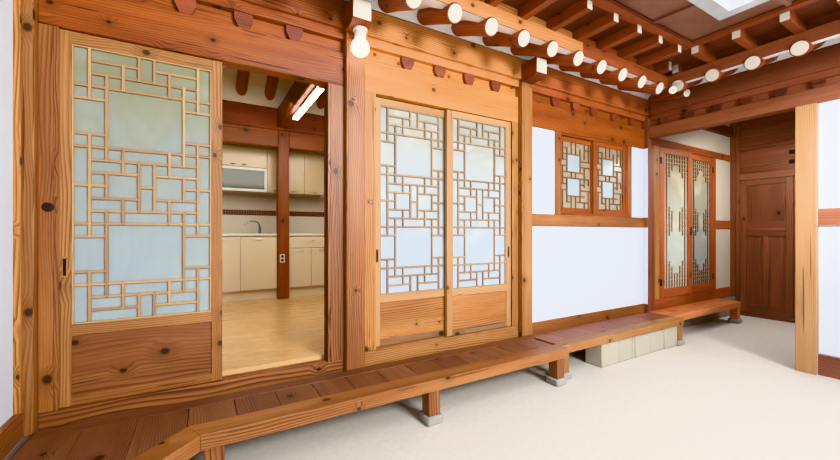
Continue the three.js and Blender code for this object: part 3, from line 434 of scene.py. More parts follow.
def solid(shape, points, faces, grain, tone=None, finish=0, end=None, place=None):
    """Adds a convex solid with its grain along one axis. Faces across it may have another finish."""
    g = "xyz".index(grain)
    others = [i for i in range(3) if i != g]
    tone = rng.random() if tone is None else tone
    shift = (rng.uniform(0, 40), rng.uniform(0, 40))
    middle = centre_of(points)
    maps, finishes, turned = [], [], []
    for face in faces:
        corners = [points[i] for i in face]
        normal = normal_of(corners)
        if normal.dot(centre_of(corners) - middle) < 0:
            face, corners, normal = face[::-1], corners[::-1], -normal
        if abs(normal[g]) > 0.9:
            u, v, hop, kind = *others, 0.0, finish if end is None else end
        else:
            n = max(others, key=lambda i: abs(normal[i]))
            v = others[0] if n == others[1] else others[1]
            u, hop, kind = g, 0.37 * (n + 1) * (1 if normal[n] > 0 else -1), finish
        maps.append([(p[u] / 1000 + shift[0] + hop, p[v] / 1000 + shift[1] + hop) for p in corners])
        finishes.append(kind)
        turned.append(face)
    shape.add([place(p) for p in points] if place else points, turned, maps, tone, finishes)


SIGNS = (-1, 1)
CORNERS = [(a, b, c) for a in SIGNS for b in SIGNS for c in SIGNS]
SIX_FACES = [[0, 1, 3, 2], [4, 5, 7, 6], [0, 1, 5, 4], [2, 3, 7, 6], [0, 2, 6, 4], [1, 3, 7, 5]]


def cut_box_faces():
    """Faces of a box with cut edges. Corner k has three points, one on each of its faces."""
    def point(n, a, b, signs):
        corner = [0, 0, 0]
        corner[n], corner[a], corner[b] = signs
        return CORNERS.index(tuple(corner)) * 3

    faces = []
    for n in range(3):
        a, b = [i for i in range(3) if i != n]
        for d in SIGNS:
            faces.append([point(n, a, b, (d, *s)) + n for s in ((-1, -1), (1, -1), (1, 1), (-1, 1))])
        for da in SIGNS:
            for db in SIGNS:
                first, last = [point(n, a, b, (d, da, db)) for d in SIGNS]
                faces.append([first + a, first + b, last + b, last + a])
    return faces + [[i * 3, i * 3 + 1, i * 3 + 2] for i in range(8)]


BOX_FACES = cut_box_faces()


def box(shape, x0, x1, y0, y1, z0, z1, grain="x", tone=None, finish=0, cut=3.0, end=None, place=None):
    low, high = (min(x0, x1), min(y0, y1), min(z0, z1)), (max(x0, x1), max(y0, y1), max(z0, z1))
    middle = [(a + b) / 2 for a, b in zip(low, high)]
    half = [(b - a) / 2 for a, b in zip(low, high)]
    c = min(cut, min(half) * 0.45)
    points = [tuple(middle[i] + s[i] * (half[i] - (0 if i == n else c)) for i in range(3))
              for s in CORNERS for n in range(3)]
    solid(shape, points, BOX_FACES, grain, tone, finish, end, place)


def boxes(*rows, shape=None, place=None):
    """A box for each row of extents, grain, tone, finish and cut, in the shape or in a new one."""
    shape = shape or Shape()
    for row in rows:
        box(shape, *row, place=place)
    return shape


def prism(shape, outline, axis, low, high, grain=None, tone=None, finish=0):
    """A convex outline drawn in the two axes other than `axis`, and drawn out along it."""
    n, k = "xyz".index(axis), len(outline)
    points = [(*pair[:n], level, *pair[n:]) for level in (low, high) for pair in outline]
    faces = [list(range(k)), list(range(k, 2 * k))]
    faces.extend([i, (i + 1) % k, (i + 1) % k + k, i + k] for i in range(k))
    solid(shape, points, faces, grain or axis, tone, finish)


def tube(shape, path, radii, sides=16, tone=None, finish=0, end=None, wobble=0.0):
    """A round member through the points of path. Its last end may have a finish of its own."""
    tone = rng.random() if tone is None else tone
    shift, seed = rng.uniform(0, 40), rng.uniform(0, 90)
    path = [Vector(p) for p in path]
    angles = [2 * math.pi * k / sides for k in range(sides)]
    points, runs = [], [0.0]
    for i, centre in enumerate(path):
        ahead = (path[min(i + 1, len(path) - 1)] - path[max(i - 1, 0)]).normalized()
        side = ahead.cross(Vector((0, 0, 1) if abs(ahead.z) < 0.95 else (1, 0, 0))).normalized()
        up = side.cross(ahead)
        if i:
            runs.append(runs[-1] + (centre - path[i - 1]).length)
        for a in angles:
            r = radii[i] + wobble * noise.noise(Vector((math.cos(a), math.sin(a), runs[i] / 300 + seed)))
            points.append(tuple(centre + side * (math.cos(a) * r) + up * (math.sin(a) * r)))
    faces, maps = [], []
    girth = 2 * math.pi * max(radii) / 1000
    for i, (run_a, run_b) in enumerate(zip(runs, runs[1:])):
        a, b = i * sides, (i + 1) * sides
        u0, u1 = run_a / 1000 + shift, run_b / 1000 + shift
        for k in range(sides):
            m = (k + 1) % sides
            v0, v1 = girth * k / sides, girth * (k + 1) / sides
            faces.append([b + k, b + m, a + m, a + k])
            maps.append([(u1, v0), (u1, v1), (u0, v1), (u0, v0)])
    shape.add(points, faces, maps, tone, [finish] * len(faces), True)
    disc = [(0.5 + 0.001 * radii[0] * math.cos(a), 0.001 * radii[0] * math.sin(a)) for a in angles]
    for corners, kind in ((points[:sides], finish), (points[-sides:][::-1], finish if end is None else end)):
        shape.add(corners, [list(range(sides))], [disc], tone, [kind])


def sheet(shape, rows):
    """A smooth surface through rows of points. The map runs along each row."""
    count = len(rows[0])
    points = [tuple(p) for row in rows for p in row]
    faces = [[j * count + i, j * count + i + 1, (j + 1) * count + i + 1, (j + 1) * count + i]
             for j in range(len(rows) - 1) for i in range(count - 1)]
    maps = [[(points[k][0] / 1000, points[k][1] / 1000) for k in face] for face in faces]
    shape.add(points, faces, maps, 0.5, [0] * len(faces), True)


def make(name, shape, finishes, node=None, body="house"):
    """Makes the piece and rides it on its body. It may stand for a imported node."""
    mesh = bpy.data.meshes.new(name)
    mesh.from_pydata([at(p) for p in shape.points], [], shape.faces)
    layer = mesh.uv_layers.new(name="grain")
    layer.data.foreach_set("uv", [c for corners in shape.maps for pair in corners for c in pair])
    tones = mesh.attributes.new("tone", "FLOAT", "FACE")
    tones.data.foreach_set("value", shape.tones)
    for finish in finishes:
        mesh.materials.append(finish)
    mesh.polygons.foreach_set("material_index", shape.finishes)
    mesh.polygons.foreach_set("use_smooth", shape.smooth)
    mesh.update()
    mesh.set_sharp_from_angle(angle=math.radians(42))
    piece = bpy.data.objects.new(name, mesh)
    scene.collection.objects.link(piece)
    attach(piece, body)
    if node:
        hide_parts(node)


def coat(node, material):
    """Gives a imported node's object another material."""
    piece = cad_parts[node]
    if not piece.material_slots:
        piece.data.materials.append(None)
    for holder in piece.material_slots:
        holder.link = "OBJECT"
        holder.material = material


# ---------------------------------------------------------------- camera and light

def make_camera():
    data = bpy.data.cameras.new("view")
    data.lens, data.sensor_width, data.shift_y = 16.0, 36.0, 3 / 840
    data.clip_start, data.clip_end = 0.05, 200
    camera = bpy.data.objects.new("view", data)
    camera.location = (-2.1625, -2.640, 1.352)
    camera.rotation_euler = (math.radians(90), 0, math.radians(-30.5))
    scene.collection.objects.link(camera)
    scene.camera = camera


def light(name, place, target, size, power, colour):
    """A panel with sides in metres, or a soft spot with an angle in degrees."""
    spot = not isinstance(size, tuple)
    data = bpy.data.lights.new(name, "SPOT" if spot else "AREA")
    if spot:
        data.spot_size, data.spot_blend, data.shadow_soft_size = math.radians(size), 0.9, 0.3
    else:
        data.shape = "RECTANGLE"
        data.size, data.size_y = size
    data.energy, data.color = power, colour
    lamp = bpy.data.objects.new(name, data)
    lamp.location = place
    lamp.rotation_euler = (Vector(target) - Vector(place)).to_track_quat("-Z", "Y").to_euler()
    scene.collection.objects.link(lamp)


def make_light():
    world = bpy.data.worlds.new("studio")
    world.use_nodes = True
    background = world.node_tree.nodes["Background"]
    background.inputs[0].default_value = (0.84, 0.92, 1.0, 1)
    background.inputs[1].default_value = 0.80
    scene.world = world
    light("court_key", (0.2, -5.4, 3.1), (-1.5, 0.1, 2.2), (1.7, 1.1), 430, (1.0, 0.98, 0.96))
    light("court_soft", (-1.4, -5.4, 6.2), (-1.1, 0.1, 1.4), (4.4, 3.6), 300, (0.96, 0.98, 1.0))
    light("passage_sun", (0.9, -3.9, 2.9), (3.05, -1.9, 1.95), 34, 1500, (1.0, 0.98, 0.95))
    light("room_glow", (-1.25, 1.45, 2.6), (-1.2, 2.4, 1.0), (1.8, 1.2), 44, (1.0, 0.93, 0.82))
    light("passage_fill", (4.4, -1.0, 2.6), (4.9, -0.4, 0.6), (1.2, 0.6), 36, (1.0, 0.97, 0.94))


def make_stage():
    mesh = bpy.data.meshes.new("ground")
    corners = ((-40, -40), (40, -40), (40, 40), (-40, 40))
    mesh.from_pydata([(x, y, -0.0005) for x, y in corners], [], [(0, 1, 2, 3)])
    n = Nodes("ground_pale")
    colour = n.wear(srgb((214, 210, 202)), srgb((204, 199, 190)), n.noise(n.place, 24.0, 4.0), 0.3, 0.8)
    mesh.materials.append(n.finish(colour, 0.8))
    ground = bpy.data.objects.new("ground", mesh)
    scene.collection.objects.link(ground)


# ---------------------------------------------------------------- columns and beams

def bay(i):
    """The ends of a bay of the main front, between its columns."""
    return COLUMN_X[i] + EDGE, COLUMN_X[i + 1] - EDGE


def make_columns():
    looks = zip(COLUMN_X, (0.45, 0.4, 0.5, 0.1), (AGED, PINE, AGED, RED))
    for number, (x, tone, timber) in enumerate(looks, 1):
        post = boxes((x - HALF, x + HALF, -HALF, HALF, FOUNDATION_TOP + GAP, BLOCK_HIGH - GAP, "z", tone, 0, 5),
                     (x - HALF, x + HALF, -HALF, -30.3, BLOCK_HIGH - 4, NOSE_LOW - GAP, "z", tone))
        if number == 1:
            box(post, -16, 13, -98, -74, PORCH_TOP, SUPPORT_HIGH - 40, "z", 0.9, 1)
        make(f"post_{number}", post, [timber, HONEY], f"column_{number}")
    x, y = COLUMN_X[3], PASSAGE_LINE
    post = boxes((x - HALF, x + HALF, y - HALF, y + HALF, 0, EAST_LOW - GAP, "z", 0.4, 0, 5))
    make("post_passage", post, [HONEY_SMOOTH], "passage_post")


def bearing(shape, axis, reach, middle, foot, head, heights, tone=None):
    """A block that widens upwards from its foot to its head."""
    z0, z1, z2 = heights
    outline = [(middle - foot, z0), (middle + foot, z0), (middle + head, z1), (middle + head, z2),
               (middle - head, z2), (middle - head, z1)]
    prism(shape, outline, axis, *reach, tone=tone, finish=1)


def make_lintels():
    lintels = [("a", 2472, (391, 721, 1051, 1381), ORANGE), ("b", 2463, (2302, 2626, 2950, 3274), GOLD),
               ("c", LINTEL_LOW, (4132, 4470, 4803, 5207, 5595), ORANGE)]
    for i, (name, low, blocks, timber) in enumerate(lintels):
        beam = boxes((*bay(i), FRONT, HALF, low + GAP, LINTEL_HIGH, "x", 0.62, 0, 4),
                     (*bay(i), 15, HALF - 20, LINTEL_HIGH - 5, BLOCK_HIGH - GAP, "x", 0.8, 0, 2))
        heights = (LINTEL_HIGH - 1, LINTEL_HIGH + 59, BLOCK_HIGH - GAP)
        for x in blocks:
            bearing(beam, "y", (-20, 20), x, 30, 58, heights, rng.uniform(0.2, 0.8))
        make(f"head_beam_{name}", beam, [timber, BEARER], f"lintel_{name}")


def make_purlin():
    beam = Shape()
    for i, tone in enumerate((0.55, 0.7, 0.7)):
        x0, x1 = BAY_ENDS[i] + 0.5, BAY_ENDS[i + 1] - 0.5
        boxes((x0, x1, -30, 50, BLOCK_HIGH, SUPPORT_HIGH + 2, "x", tone, i),
              (x0, x1, -60, HALF, SUPPORT_HIGH, PURLIN_HIGH, "x", tone + 0.1, i, 7), shape=beam)
    make("eave_purlin", beam, [ORANGE, STRIP, DOOR_RED], "purlin_main")


def make_tie_beams():
    """Main beams over the columns. Each nose has a slanted lower front edge and a white end."""
    for i, left, right, tip, wide in ((1, -84, 60, -236, 92), (2, -70, 70, -260, 80)):
        x, beam = COLUMN_X[i], Shape()
        side = [(tip + 3, NOSE_HIGH), (-60.5, NOSE_HIGH), (-60.5, NOSE_LOW), (tip + 44, NOSE_LOW),
                (tip + 3, NOSE_LOW + 30)]
        prism(beam, side, "x", x + left, x + right, "y", 0.35)
        boxes((x + left + 3, x + right - 3, tip, tip + 8, NOSE_LOW + 34, NOSE_HIGH - 4, "y", 0.5, 1, 2),
              (x - wide, x + wide, HALF + 0.5, INNER_LINE - HALF - 0.5, 2830, 3094, "y", 0.4, 0, 16),
              shape=beam)
        make(f"tie_{i}", beam, [INNER, WHITE_END], f"tie_beam_{i}")


def make_inner_frame():
    low, high = INNER_LINE - HALF, INNER_LINE + HALF
    inner = boxes(
        *[(x - HALF, x + HALF, low, high, FLOOR_TOP + GAP, 2798, "z", 0.6, 0, 5) for x in COLUMN_X],
        *[(x0 + HALF, x1 - HALF, low + 8, high - 8, 2564, 2799, "x", 0.85, 0, 5)
          for x0, x1 in zip(COLUMN_X, COLUMN_X[1:])],
        *[(x0, x1 - 1, low, high, 2800, PURLIN_HIGH, "x", 0.2, 0, 8) for x0, x1 in zip(BAY_ENDS, BAY_ENDS[1:])])
    make("inner_posts", inner, [INNER], "inner_frame")
    top, near, far = axis_z(HALF) - (axis_z(RIDGE_Y + HALF) - PURLIN_HIGH), RIDGE_Y - 60, RIDGE_Y + 60
    ridge = boxes((0, COLUMN_X[3], near, far, top - 190, top, "x", 0.4, 0, 8),
                  *[(x - 60, x + 60, near, far, 3094.3, top - 188, "z", 0.5, 0, 5) for x in COLUMN_X[1:3]])
    make("ridge_pole", ridge, [DARK], "ridge_beam")


def make_wing_beams():
    eave, inner, north, x = SOUTH_EDGE + 60, SOUTH_LINE + 40.3, -EDGE, COLUMN_X[3]
    west = boxes((-75, 60, eave, north, SUPPORT_HIGH, PURLIN_HIGH, "y", 0.6, 0, 7),
                 (-50, 30, eave, north, BLOCK_HIGH, SUPPORT_HIGH + 2, "y", 0.5),
                 (-60, 25, inner, north, EAST_LOW + GAP, BLOCK_HIGH + 2, "y", 0.6, 0, 4))
    make("wing_beam_west", west, [PINE], "beam_west")
    east = boxes((x - 60, x + 75, eave, north, SUPPORT_HIGH, PURLIN_HIGH, "y", 0.5, 0, 7),
                 (x - 30, x + 50, eave, north, BLOCK_HIGH, SUPPORT_HIGH + 2, "y", 0.3),
                 (x - 60, x + 60, inner, north, EAST_LOW, EAST_HIGH, "y", 0.75, 0, 4),
                 (x - 10, x + 50, inner, north, EAST_HIGH - 5, BLOCK_HIGH + 2, "y", 0.4, 0, 2))
    heights = (EAST_HIGH - 2, EAST_HIGH + 44, BLOCK_HIGH - GAP)
    for k in range(12):
        bearing(east, "x", (x - 45, x - 5), -250 - 275 * k, 28, 48, heights)
    make("wing_beam_east", east, [RED, DARK], "beam_east")


# ---------------------------------------------------------------- doors and windows

def grid_bars(shape, u0, u1, z0, z1, cells, across, upright, depth, wide=15, level=1, place=None):
    """Lattice bars in an opening. Positions are given in columns from the left and rows from the top."""
    (columns, rows), (y0, y1), half = cells, depth, wide / 2
    step_u, step_z = (u1 - u0) / columns, (z1 - z0) / rows
    for row, spans in across:
        z = z1 - row * step_z
        for a, b in spans:
            left = u0 + a * step_u - (half if a > 0 else -0.2)
            right = u0 + b * step_u + (half if b < columns else -0.2)
            box(shape, left, right, y0 + 1.2, y1, z - half, z + half, "x", None, level, 1.5, place=place)
    for column, spans in upright:
        u = u0 + column * step_u
        for a, b in spans:
            top = z1 - a * step_z + (half if a > 0 else -0.2)
            low = z1 - b * step_z - (half if b < rows else -0.2)
            box(shape, u - half, u + half, y0, y1, low, top, "z", None, 1, 1.5, place=place)


def mirrored(uprights):
    """The uprights of a lattice of nine columns, from those of its left half."""
    return [(place, spans) for column, spans in enumerate(uprights, 1) for place in (column, 9 - column)]


DOOR_ACROSS = [
    (1, [(1, 4), (5, 8)]), (2, [(1, 8)]), (3, [(0, 9)]), (4, [(0, 2), (7, 9)]), (6.75, [(0, 2), (7, 9)]),
    (7.75, [(0, 9)]), (8.75, [(1, 8)]), (9.75, [(1, 4), (5, 8)]), (10.75, [(0, 2), (4, 5), (7, 9)]),
    (11.75, [(1, 4), (5, 8)]), (12.75, [(1, 8)]), (13.75, [(0, 9)]), (14.75, [(0, 2), (7, 9)]),
    (17.5, [(0, 2), (7, 9)]), (18.5, [(0, 9)]), (19.5, [(1, 8)]), (20.5, [(1, 4), (5, 8)]),
]
DOOR_UPRIGHT = mirrored([
    [(0, 4), (6.75, 14.75), (17.5, 21.5)], [(2, 8.75), (9.75, 11.75), (12.75, 19.5)],
    [(1, 3), (7.75, 9.75), (11.75, 13.75), (18.5, 20.5)], [(0, 2), (8.75, 12.75), (19.5, 21.5)]])
DOOR_CELLS = (9, 21.5)

LEAF_THICK, STILE, LOW_RAIL, MID_RAIL, GLASS_LOW, GLASS_HIGH, RIM = 34, 62, 53, 63, 844, 2400, 9


def sliding_leaf(name, x, y, width, low, high, finishes, pull_left):
    x1, y1 = x + width, y + LEAF_THICK
    u0, u1 = x + STILE, x1 - STILE
    rail = (u0 - 4, u1 + 4, y + 0.8, y1 - 0.8)
    lip, bead, back = (u0 + RIM, u1 - RIM, y + 3.4), y + 3, y + 17.8
    pull = x + 34 if pull_left else x1 - 34
    leaf = boxes(
        (x, u0, y, y1, low, high, "z", 0.6, 0, 2.5),
        (u1, x1, y, y1, low, high, "z", 0.5, 0, 2.5),
        (*rail, GLASS_HIGH, high - 0.5, "x", 0.7, 0, 2),
        (*rail, GLASS_LOW - MID_RAIL, GLASS_LOW, "x", 0.55, 0, 2),
        (*rail, low + 0.5, low + LOW_RAIL, "x", 0.8, 5, 2),
        (u0 - 3, u1 + 3, y + 9, y1 - 9, low + LOW_RAIL - 3, GLASS_LOW - MID_RAIL + 3, "x", 0.45, 2, 1))
    grid_bars(leaf, u0, u1, GLASS_LOW, GLASS_HIGH, DOOR_CELLS, DOOR_ACROSS, DOOR_UPRIGHT, (y + 4, back))
    boxes(
        (u0, u0 + RIM, bead, back, GLASS_LOW, GLASS_HIGH, "z", 0.9, 1, 1),
        (u1 - RIM, u1, bead, back, GLASS_LOW, GLASS_HIGH, "z", 0.9, 1, 1),
        (*lip, back, GLASS_HIGH - RIM, GLASS_HIGH, "x", 0.9, 1, 1),
        (*lip, back, GLASS_LOW, GLASS_LOW + RIM, "x", 0.9, 1, 1),
        (pull - 12, pull + 12, y - 1.2, y + 2, 1110, 1220, "z", 0.4, 3, 1),
        (pull - 7, pull + 7, y - 1.6, y + 1, 1118, 1212, "z", 0.4, 4, 0.4), shape=leaf)
    make(f"door_{name}", leaf, finishes, f"leaf_{name}", f"sliding_leaf_{name}")


FRONT_TRACK, REAR_TRACK = -14, 28


def sliding_frame(name, i, left, right, low, high, tones, finishes):
    """Sill, jambs with lips on both sides of the leaves, and the runners of the two tracks."""
    lip, runner = 20, 5
    x0, x1 = bay(i)
    near, far = FRONT_TRACK - runner, REAR_TRACK + LEAF_THICK + runner
    surround = boxes((x0, x1, FRONT, HALF, FOUNDATION_TOP + GAP, low, "x", tones[0], 1, 4))
    for kind, a, b, edge in ((0, x0, left - lip, left - lip), (2, right + lip, x1, right)):
        jamb = (low, high, "z", tones[1], kind)
        boxes((a, b, FRONT, HALF, *jamb),
              (edge - 0.5, edge + lip + 0.5, FRONT + 0.5, near, *jamb, 1.5),
              (edge - 0.5, edge + lip + 0.5, far, HALF - 0.5, *jamb, 1.5), shape=surround)
    for track in (FRONT_TRACK, REAR_TRACK):
        mid = track + LEAF_THICK / 2
        box(surround, left - lip, right + lip, mid - 4, mid + 4, low - 4, low + runner, "x", 0.5, 0, 1.5)
    if name == "a":
        knot = [(96, FRONT + d, 1491) for d in (3, -0.6, -1.4)]
        tube(surround, knot, (26, 25, 19), 18, 0.4, 3, wobble=5.0)
    make(f"surround_{name}", surround, finishes, f"door_frame_{name}")


def make_sliding_doors():
    sliding_frame("a", 0, 140, 1620, 390, 2472, (0.5, 0.5), [PINE, BROWN, BROWN, KNOT])
    sliding_frame("b", 1, 2007, 3480, FLOOR_TOP, 2463, (0.6, 0.7), [HONEY, AGED, AGED])
    a = [AGED, LATTICE_TAN, BROWN, AGED, IRON, BROWN]
    b = [HONEY_SMOOTH, LATTICE_GREY, HONEY, PINE, IRON, WORN]
    sliding_leaf("a_front", 126, FRONT_TRACK, 799, 395.3, 2467, a, True)
    sliding_leaf("a_rear", 126, REAR_TRACK, 799, 395.3, 2467, a, False)
    sliding_leaf("b_right", 2700, FRONT_TRACK, 775, 425.3, 2458, b, False)
    sliding_leaf("b_left", 2006, REAR_TRACK, 775, 425.3, 2458, b, True)


# Uprights and spans of the window lattice are in mm from the left of the glass
WINDOW_CELLS = (519, 11)
WINDOW_ACROSS = [
    (1, [(0, 104), (411, 519)]), (2, [(30, 333)]), (3, [(0, 104), (333, 519)]), (4, [(0, 104), (333, 519)]),
    (5, [(0, 411)]), (6, [(0, 485)]), (7, [(0, 104), (333, 411)]), (8, [(0, 104), (333, 519)]),
    (9, [(104, 411)]), (10, [(104, 179), (254, 485)]),
]
WINDOW_UPRIGHT = [
    (30, [(0, 3), (4, 7), (8, 11)]), (104, [(1, 5), (6, 10)]), (179, [(0, 2), (5, 6), (9, 11)]),
    (254, [(0, 2), (5, 6), (9, 11)]), (333, [(1, 5), (6, 10)]), (411, [(0, 2.5), (4, 7.3), (10, 11)]),
    (485, [(0, 3), (6, 7), (8, 11)]),
]


def make_bay_c():
    x0, x1 = bay(2)
    left, right, stud = 4200, 5470, 80
    wall = boxes(
        (x0, x1, FRONT, BACK, FOUNDATION_TOP + GAP, FLOOR_TOP, "x", 0.5, 0, 4),
        (x0, x1, FRONT, BACK, RAIL_LOW, RAIL_HIGH, "x", 0.6, 0, 4),
        (left - stud, left, FRONT, BACK, RAIL_HIGH, LINTEL_LOW, "z", 0.6),
        (right, right + stud + 10, FRONT, BACK, RAIL_HIGH, LINTEL_LOW, "z", 0.5),
        (x0, x0 + 20, FRONT + 1, BACK, FLOOR_TOP, LINTEL_LOW, "z", 0.4, 0, 2),
        (x1 - 10, x1, -68, FRONT + 2, RAIL_LOW, RAIL_HIGH, "z", 0.4, 0, 1.5))
    make("wall_timbers_c", wall, [PINE], "wall_frame_c")
    z0, z1, rim, a, b = RAIL_HIGH + GAP, LINTEL_LOW, 25, left + GAP, right - GAP
    window = boxes(
        (a, a + rim, -20, 60, z0, z1, "z", 0.5, 0, 2),
        (b - rim, b, -20, 60, z0, z1, "z", 0.5, 0, 2),
        (a + rim, b - rim, -19.5, 59.5, z0, z0 + rim, "x", 0.5, 0, 2),
        (a + rim, b - rim, -19.5, 59.5, z1 - rim, z1, "x", 0.5, 0, 2))
    panes = Shape()
    low, high, foot, head = z0 + rim - 2, z1 - rim + 2, 1638, 2385
    row = (head - foot) / WINDOW_CELLS[1]
    for u0, g0, g1, u1, y in ((4795, 4869, 5387, b - rim + 2, -12), (a + rim - 2, 4268, 4787, 4860, 18)):
        rail = (g0 - 3, g1 + 3, y + 0.6, y + 31.4)
        boxes((u0, g0, y, y + 32, low, high, "z", 0.7, 0, 2), (g1, u1, y, y + 32, low, high, "z", 0.6, 0, 2),
              (*rail, low, foot, "x", 0.6, 0, 2), (*rail, head, high, "x", 0.6, 0, 2), shape=window)
        grid_bars(window, g0, g1, foot, head, WINDOW_CELLS, WINDOW_ACROSS, WINDOW_UPRIGHT, (y + 3, y + 13), 13)
        light_pane = (g0 + 104, g0 + 333, y + 12.5, y + 14.5)
        boxes((g0 - 2, g1 + 2, y + 14, y + 19, foot - 2, head + 2, "z", 0.5, 0, 0.5),
              (*light_pane, head - 5 * row, head - 2 * row, "z", 0.5, 1, 0.5),
              (*light_pane, head - 9 * row, head - 6 * row, "z", 0.5, 1, 0.5), shape=panes)
    make("window_sashes_c", window, [ORANGE, LATTICE_DARK], "window_c")
    make("window_panes_c", panes, [PANE_C, PANE_C_LIGHT])


EAST_CELLS = (9, 33)
EAST_ACROSS = [
    (1, [(0, 9)]), (2, [(0, 9)]), (3, [(0, 3.5), (5.5, 9)]), (4, [(0, 3), (6, 9)]), (5, [(0, 2), (7, 9)]),
    (13.5, [(0, 2), (7, 9)]), *[(row + 0.5, [(0, 3), (6, 9)]) for row in range(14, 19)],
    (19.5, [(0, 2), (7, 9)]),
    (27, [(0, 2), (7, 9)]), (28, [(0, 3), (6, 9)]), (29, [(0, 3), (6, 9)]), (30, [(0, 4), (5, 9)]),
    (31, [(0, 9)]), (32, [(0, 9)]),
]
EAST_UPRIGHT = mirrored([
    [(0, 33)], [(0, 5.5), (13, 20), (26.5, 33)], [(0, 4), (14, 19), (27.8, 33)], [(0, 2.5), (29.5, 33)]])


def hinged_leaf(name, x0, x1, side, turn):
    """A lattice leaf turned about its hinge side by some degrees. Its side is 1 with the hinge at the left."""
    low, high, thick, stile = 460, 2539, 40, 110
    hinge, free = (x0, x1) if side > 0 else (x1, x0)
    cos, sin = math.cos(math.radians(turn)), math.sin(math.radians(turn))
    y0, y1 = FRONT, FRONT + thick
    g0, g1, foot, head = x0 + stile, x1 - stile, low + 120, high - 85
    rail, knob, pin = (g0 - 3, g1 + 3, y0 + 0.8, y1 - 0.8), free - side * 38, hinge + side * 12

    def place(p):
        dx, dy = p[0] - hinge, p[1] - FRONT
        return (hinge + dx * cos - dy * sin, FRONT + dx * sin + dy * cos, p[2])

    leaf = boxes((x0, g0, y0, y1, low, high, "z", 0.55), (g1, x1, y0, y1, low, high, "z", 0.55),
                 (*rail, head, high - 0.5, "x", 0.6, 0, 2), (*rail, low + 0.5, foot, "x", 0.5, 0, 2),
                 place=place)
    grid_bars(leaf, g0, g1, foot, head, EAST_CELLS, EAST_ACROSS, EAST_UPRIGHT,
              (y0 + 6, y0 + 17.8), 10, 4, place)
    boxes(*[(hinge + side * 2, hinge + side * 46, y0 - 3, y0 + 2, z - 45, z + 45, "z", 0.5, 2, 1)
            for z in (low + 210, high - 190)],
          (knob - 14, knob + 14, y0 - 4, y0 + 2, 1320, 1440, "z", 0.5, 2, 1.5), shape=leaf, place=place)
    spindle = [place((knob, y0 - d, 1390)) for d in (2, 22, 34, 46, 52)]
    tube(leaf, spindle, (9, 9, 22, 20, 10), 14, 0.5, 3)
    box(leaf, pin - 8, pin + 8, y0 + 4, y0 + 20, 454.3, low + 5, "z", 0.5, 2, 1, place=place)
    make(f"door_{name}", leaf, [DOOR_RED, LATTICE_BROWN, IRON, METAL, LATTICE_TAN],
         f"leaf_{name}", f"hinged_leaf_{name}")


def make_bay_d():
    x0, x1 = COLUMN_X[3] + EDGE, GATE_LINE - EDGE
    left, right, low, top, head = 6228, 7830, 454, 2545, 2645
    wall = boxes(
        (x0, x1, FRONT, BACK, FOUNDATION_TOP + GAP, low, "x", 0.5, 0, 4),
        (x0, x1, FRONT, BACK, top, head, "x", 0.55, 0, 4),
        (x0, x0 + 118, FRONT, BACK, low, top, "z", 0.7, 1),
        (x0 + 118.5, left, FRONT + 2, BACK, low, top, "z", 0.6, 1),
        (right, right + 75, FRONT, BACK, low, top, "z", 0.5),
        (right + 75, x1, FRONT, BACK, RAIL_LOW, RAIL_HIGH, "x", 0.5))
    make("surround_d", wall, [DOOR_RED, AGED], "door_frame_d")
    beam = boxes((COLUMN_X[3] + HALF + 0.5, GATE_LINE - HALF - 1, -60, HALF, 2952, PURLIN_HIGH, "x", 0.4, 0, 7))
    make("eave_purlin_east", beam, [DARK])
    mid = (left + right) / 2
    hinged_leaf("d_left", left + 5, mid - 2.5, 1, -3.5)
    hinged_leaf("d_right", mid + 2.5, right - 5, -1, 0)


def make_gate():
    south, north = PASSAGE_LINE + 60.3, -EDGE
    door, low, high, x0, x1 = (-1425, -130), 60, 2215, 8480, 8600
    gate = boxes(
        (x0, x1, south, north, 0, low, "y", 0.5, 0, 5),
        (x0, x1, south, door[0], low, 3290, "z", 0.5, 0, 4),
        (x0, x1, door[1], north, low, 3290, "z", 0.5, 0, 4),
        (x0 + 1, x1 - 1, *door, high, 2320, "y", 0.6, 0, 4),
        (x0 + 30, x1 - 40, *door, 2319, 2701, "y", 0.4, 0, 2),
        (x0 + 1, x1 - 1, *door, 2700, 2760, "y", 0.5, 0, 4),
        *[(x0 + 25 + i % 2, x1 - 1, *door, 2761 + 142 * i, 2901 + 142 * i, "y") for i in range(4)],
        (GATE_LINE - HALF, GATE_LINE + HALF, north - 1, HALF, FOUNDATION_TOP + GAP, 3320, "z", 0.5, 0, 5),
        *[(x0 + 24, x0 + 31, door[0] + 470, door[0] + 700, z, z + 62, "y", 0.5, 1, 1.5) for z in (2402, 2548)])
    make("gate_surround", gate, [GATE, IRON], "gate_frame")
    mid = sum(door) / 2
    gate_leaf("north", mid + 2.5, door[1] - 5, door[1] - 19)
    gate_leaf("south", door[0] + 5, mid - 2.5, door[0] + 19)


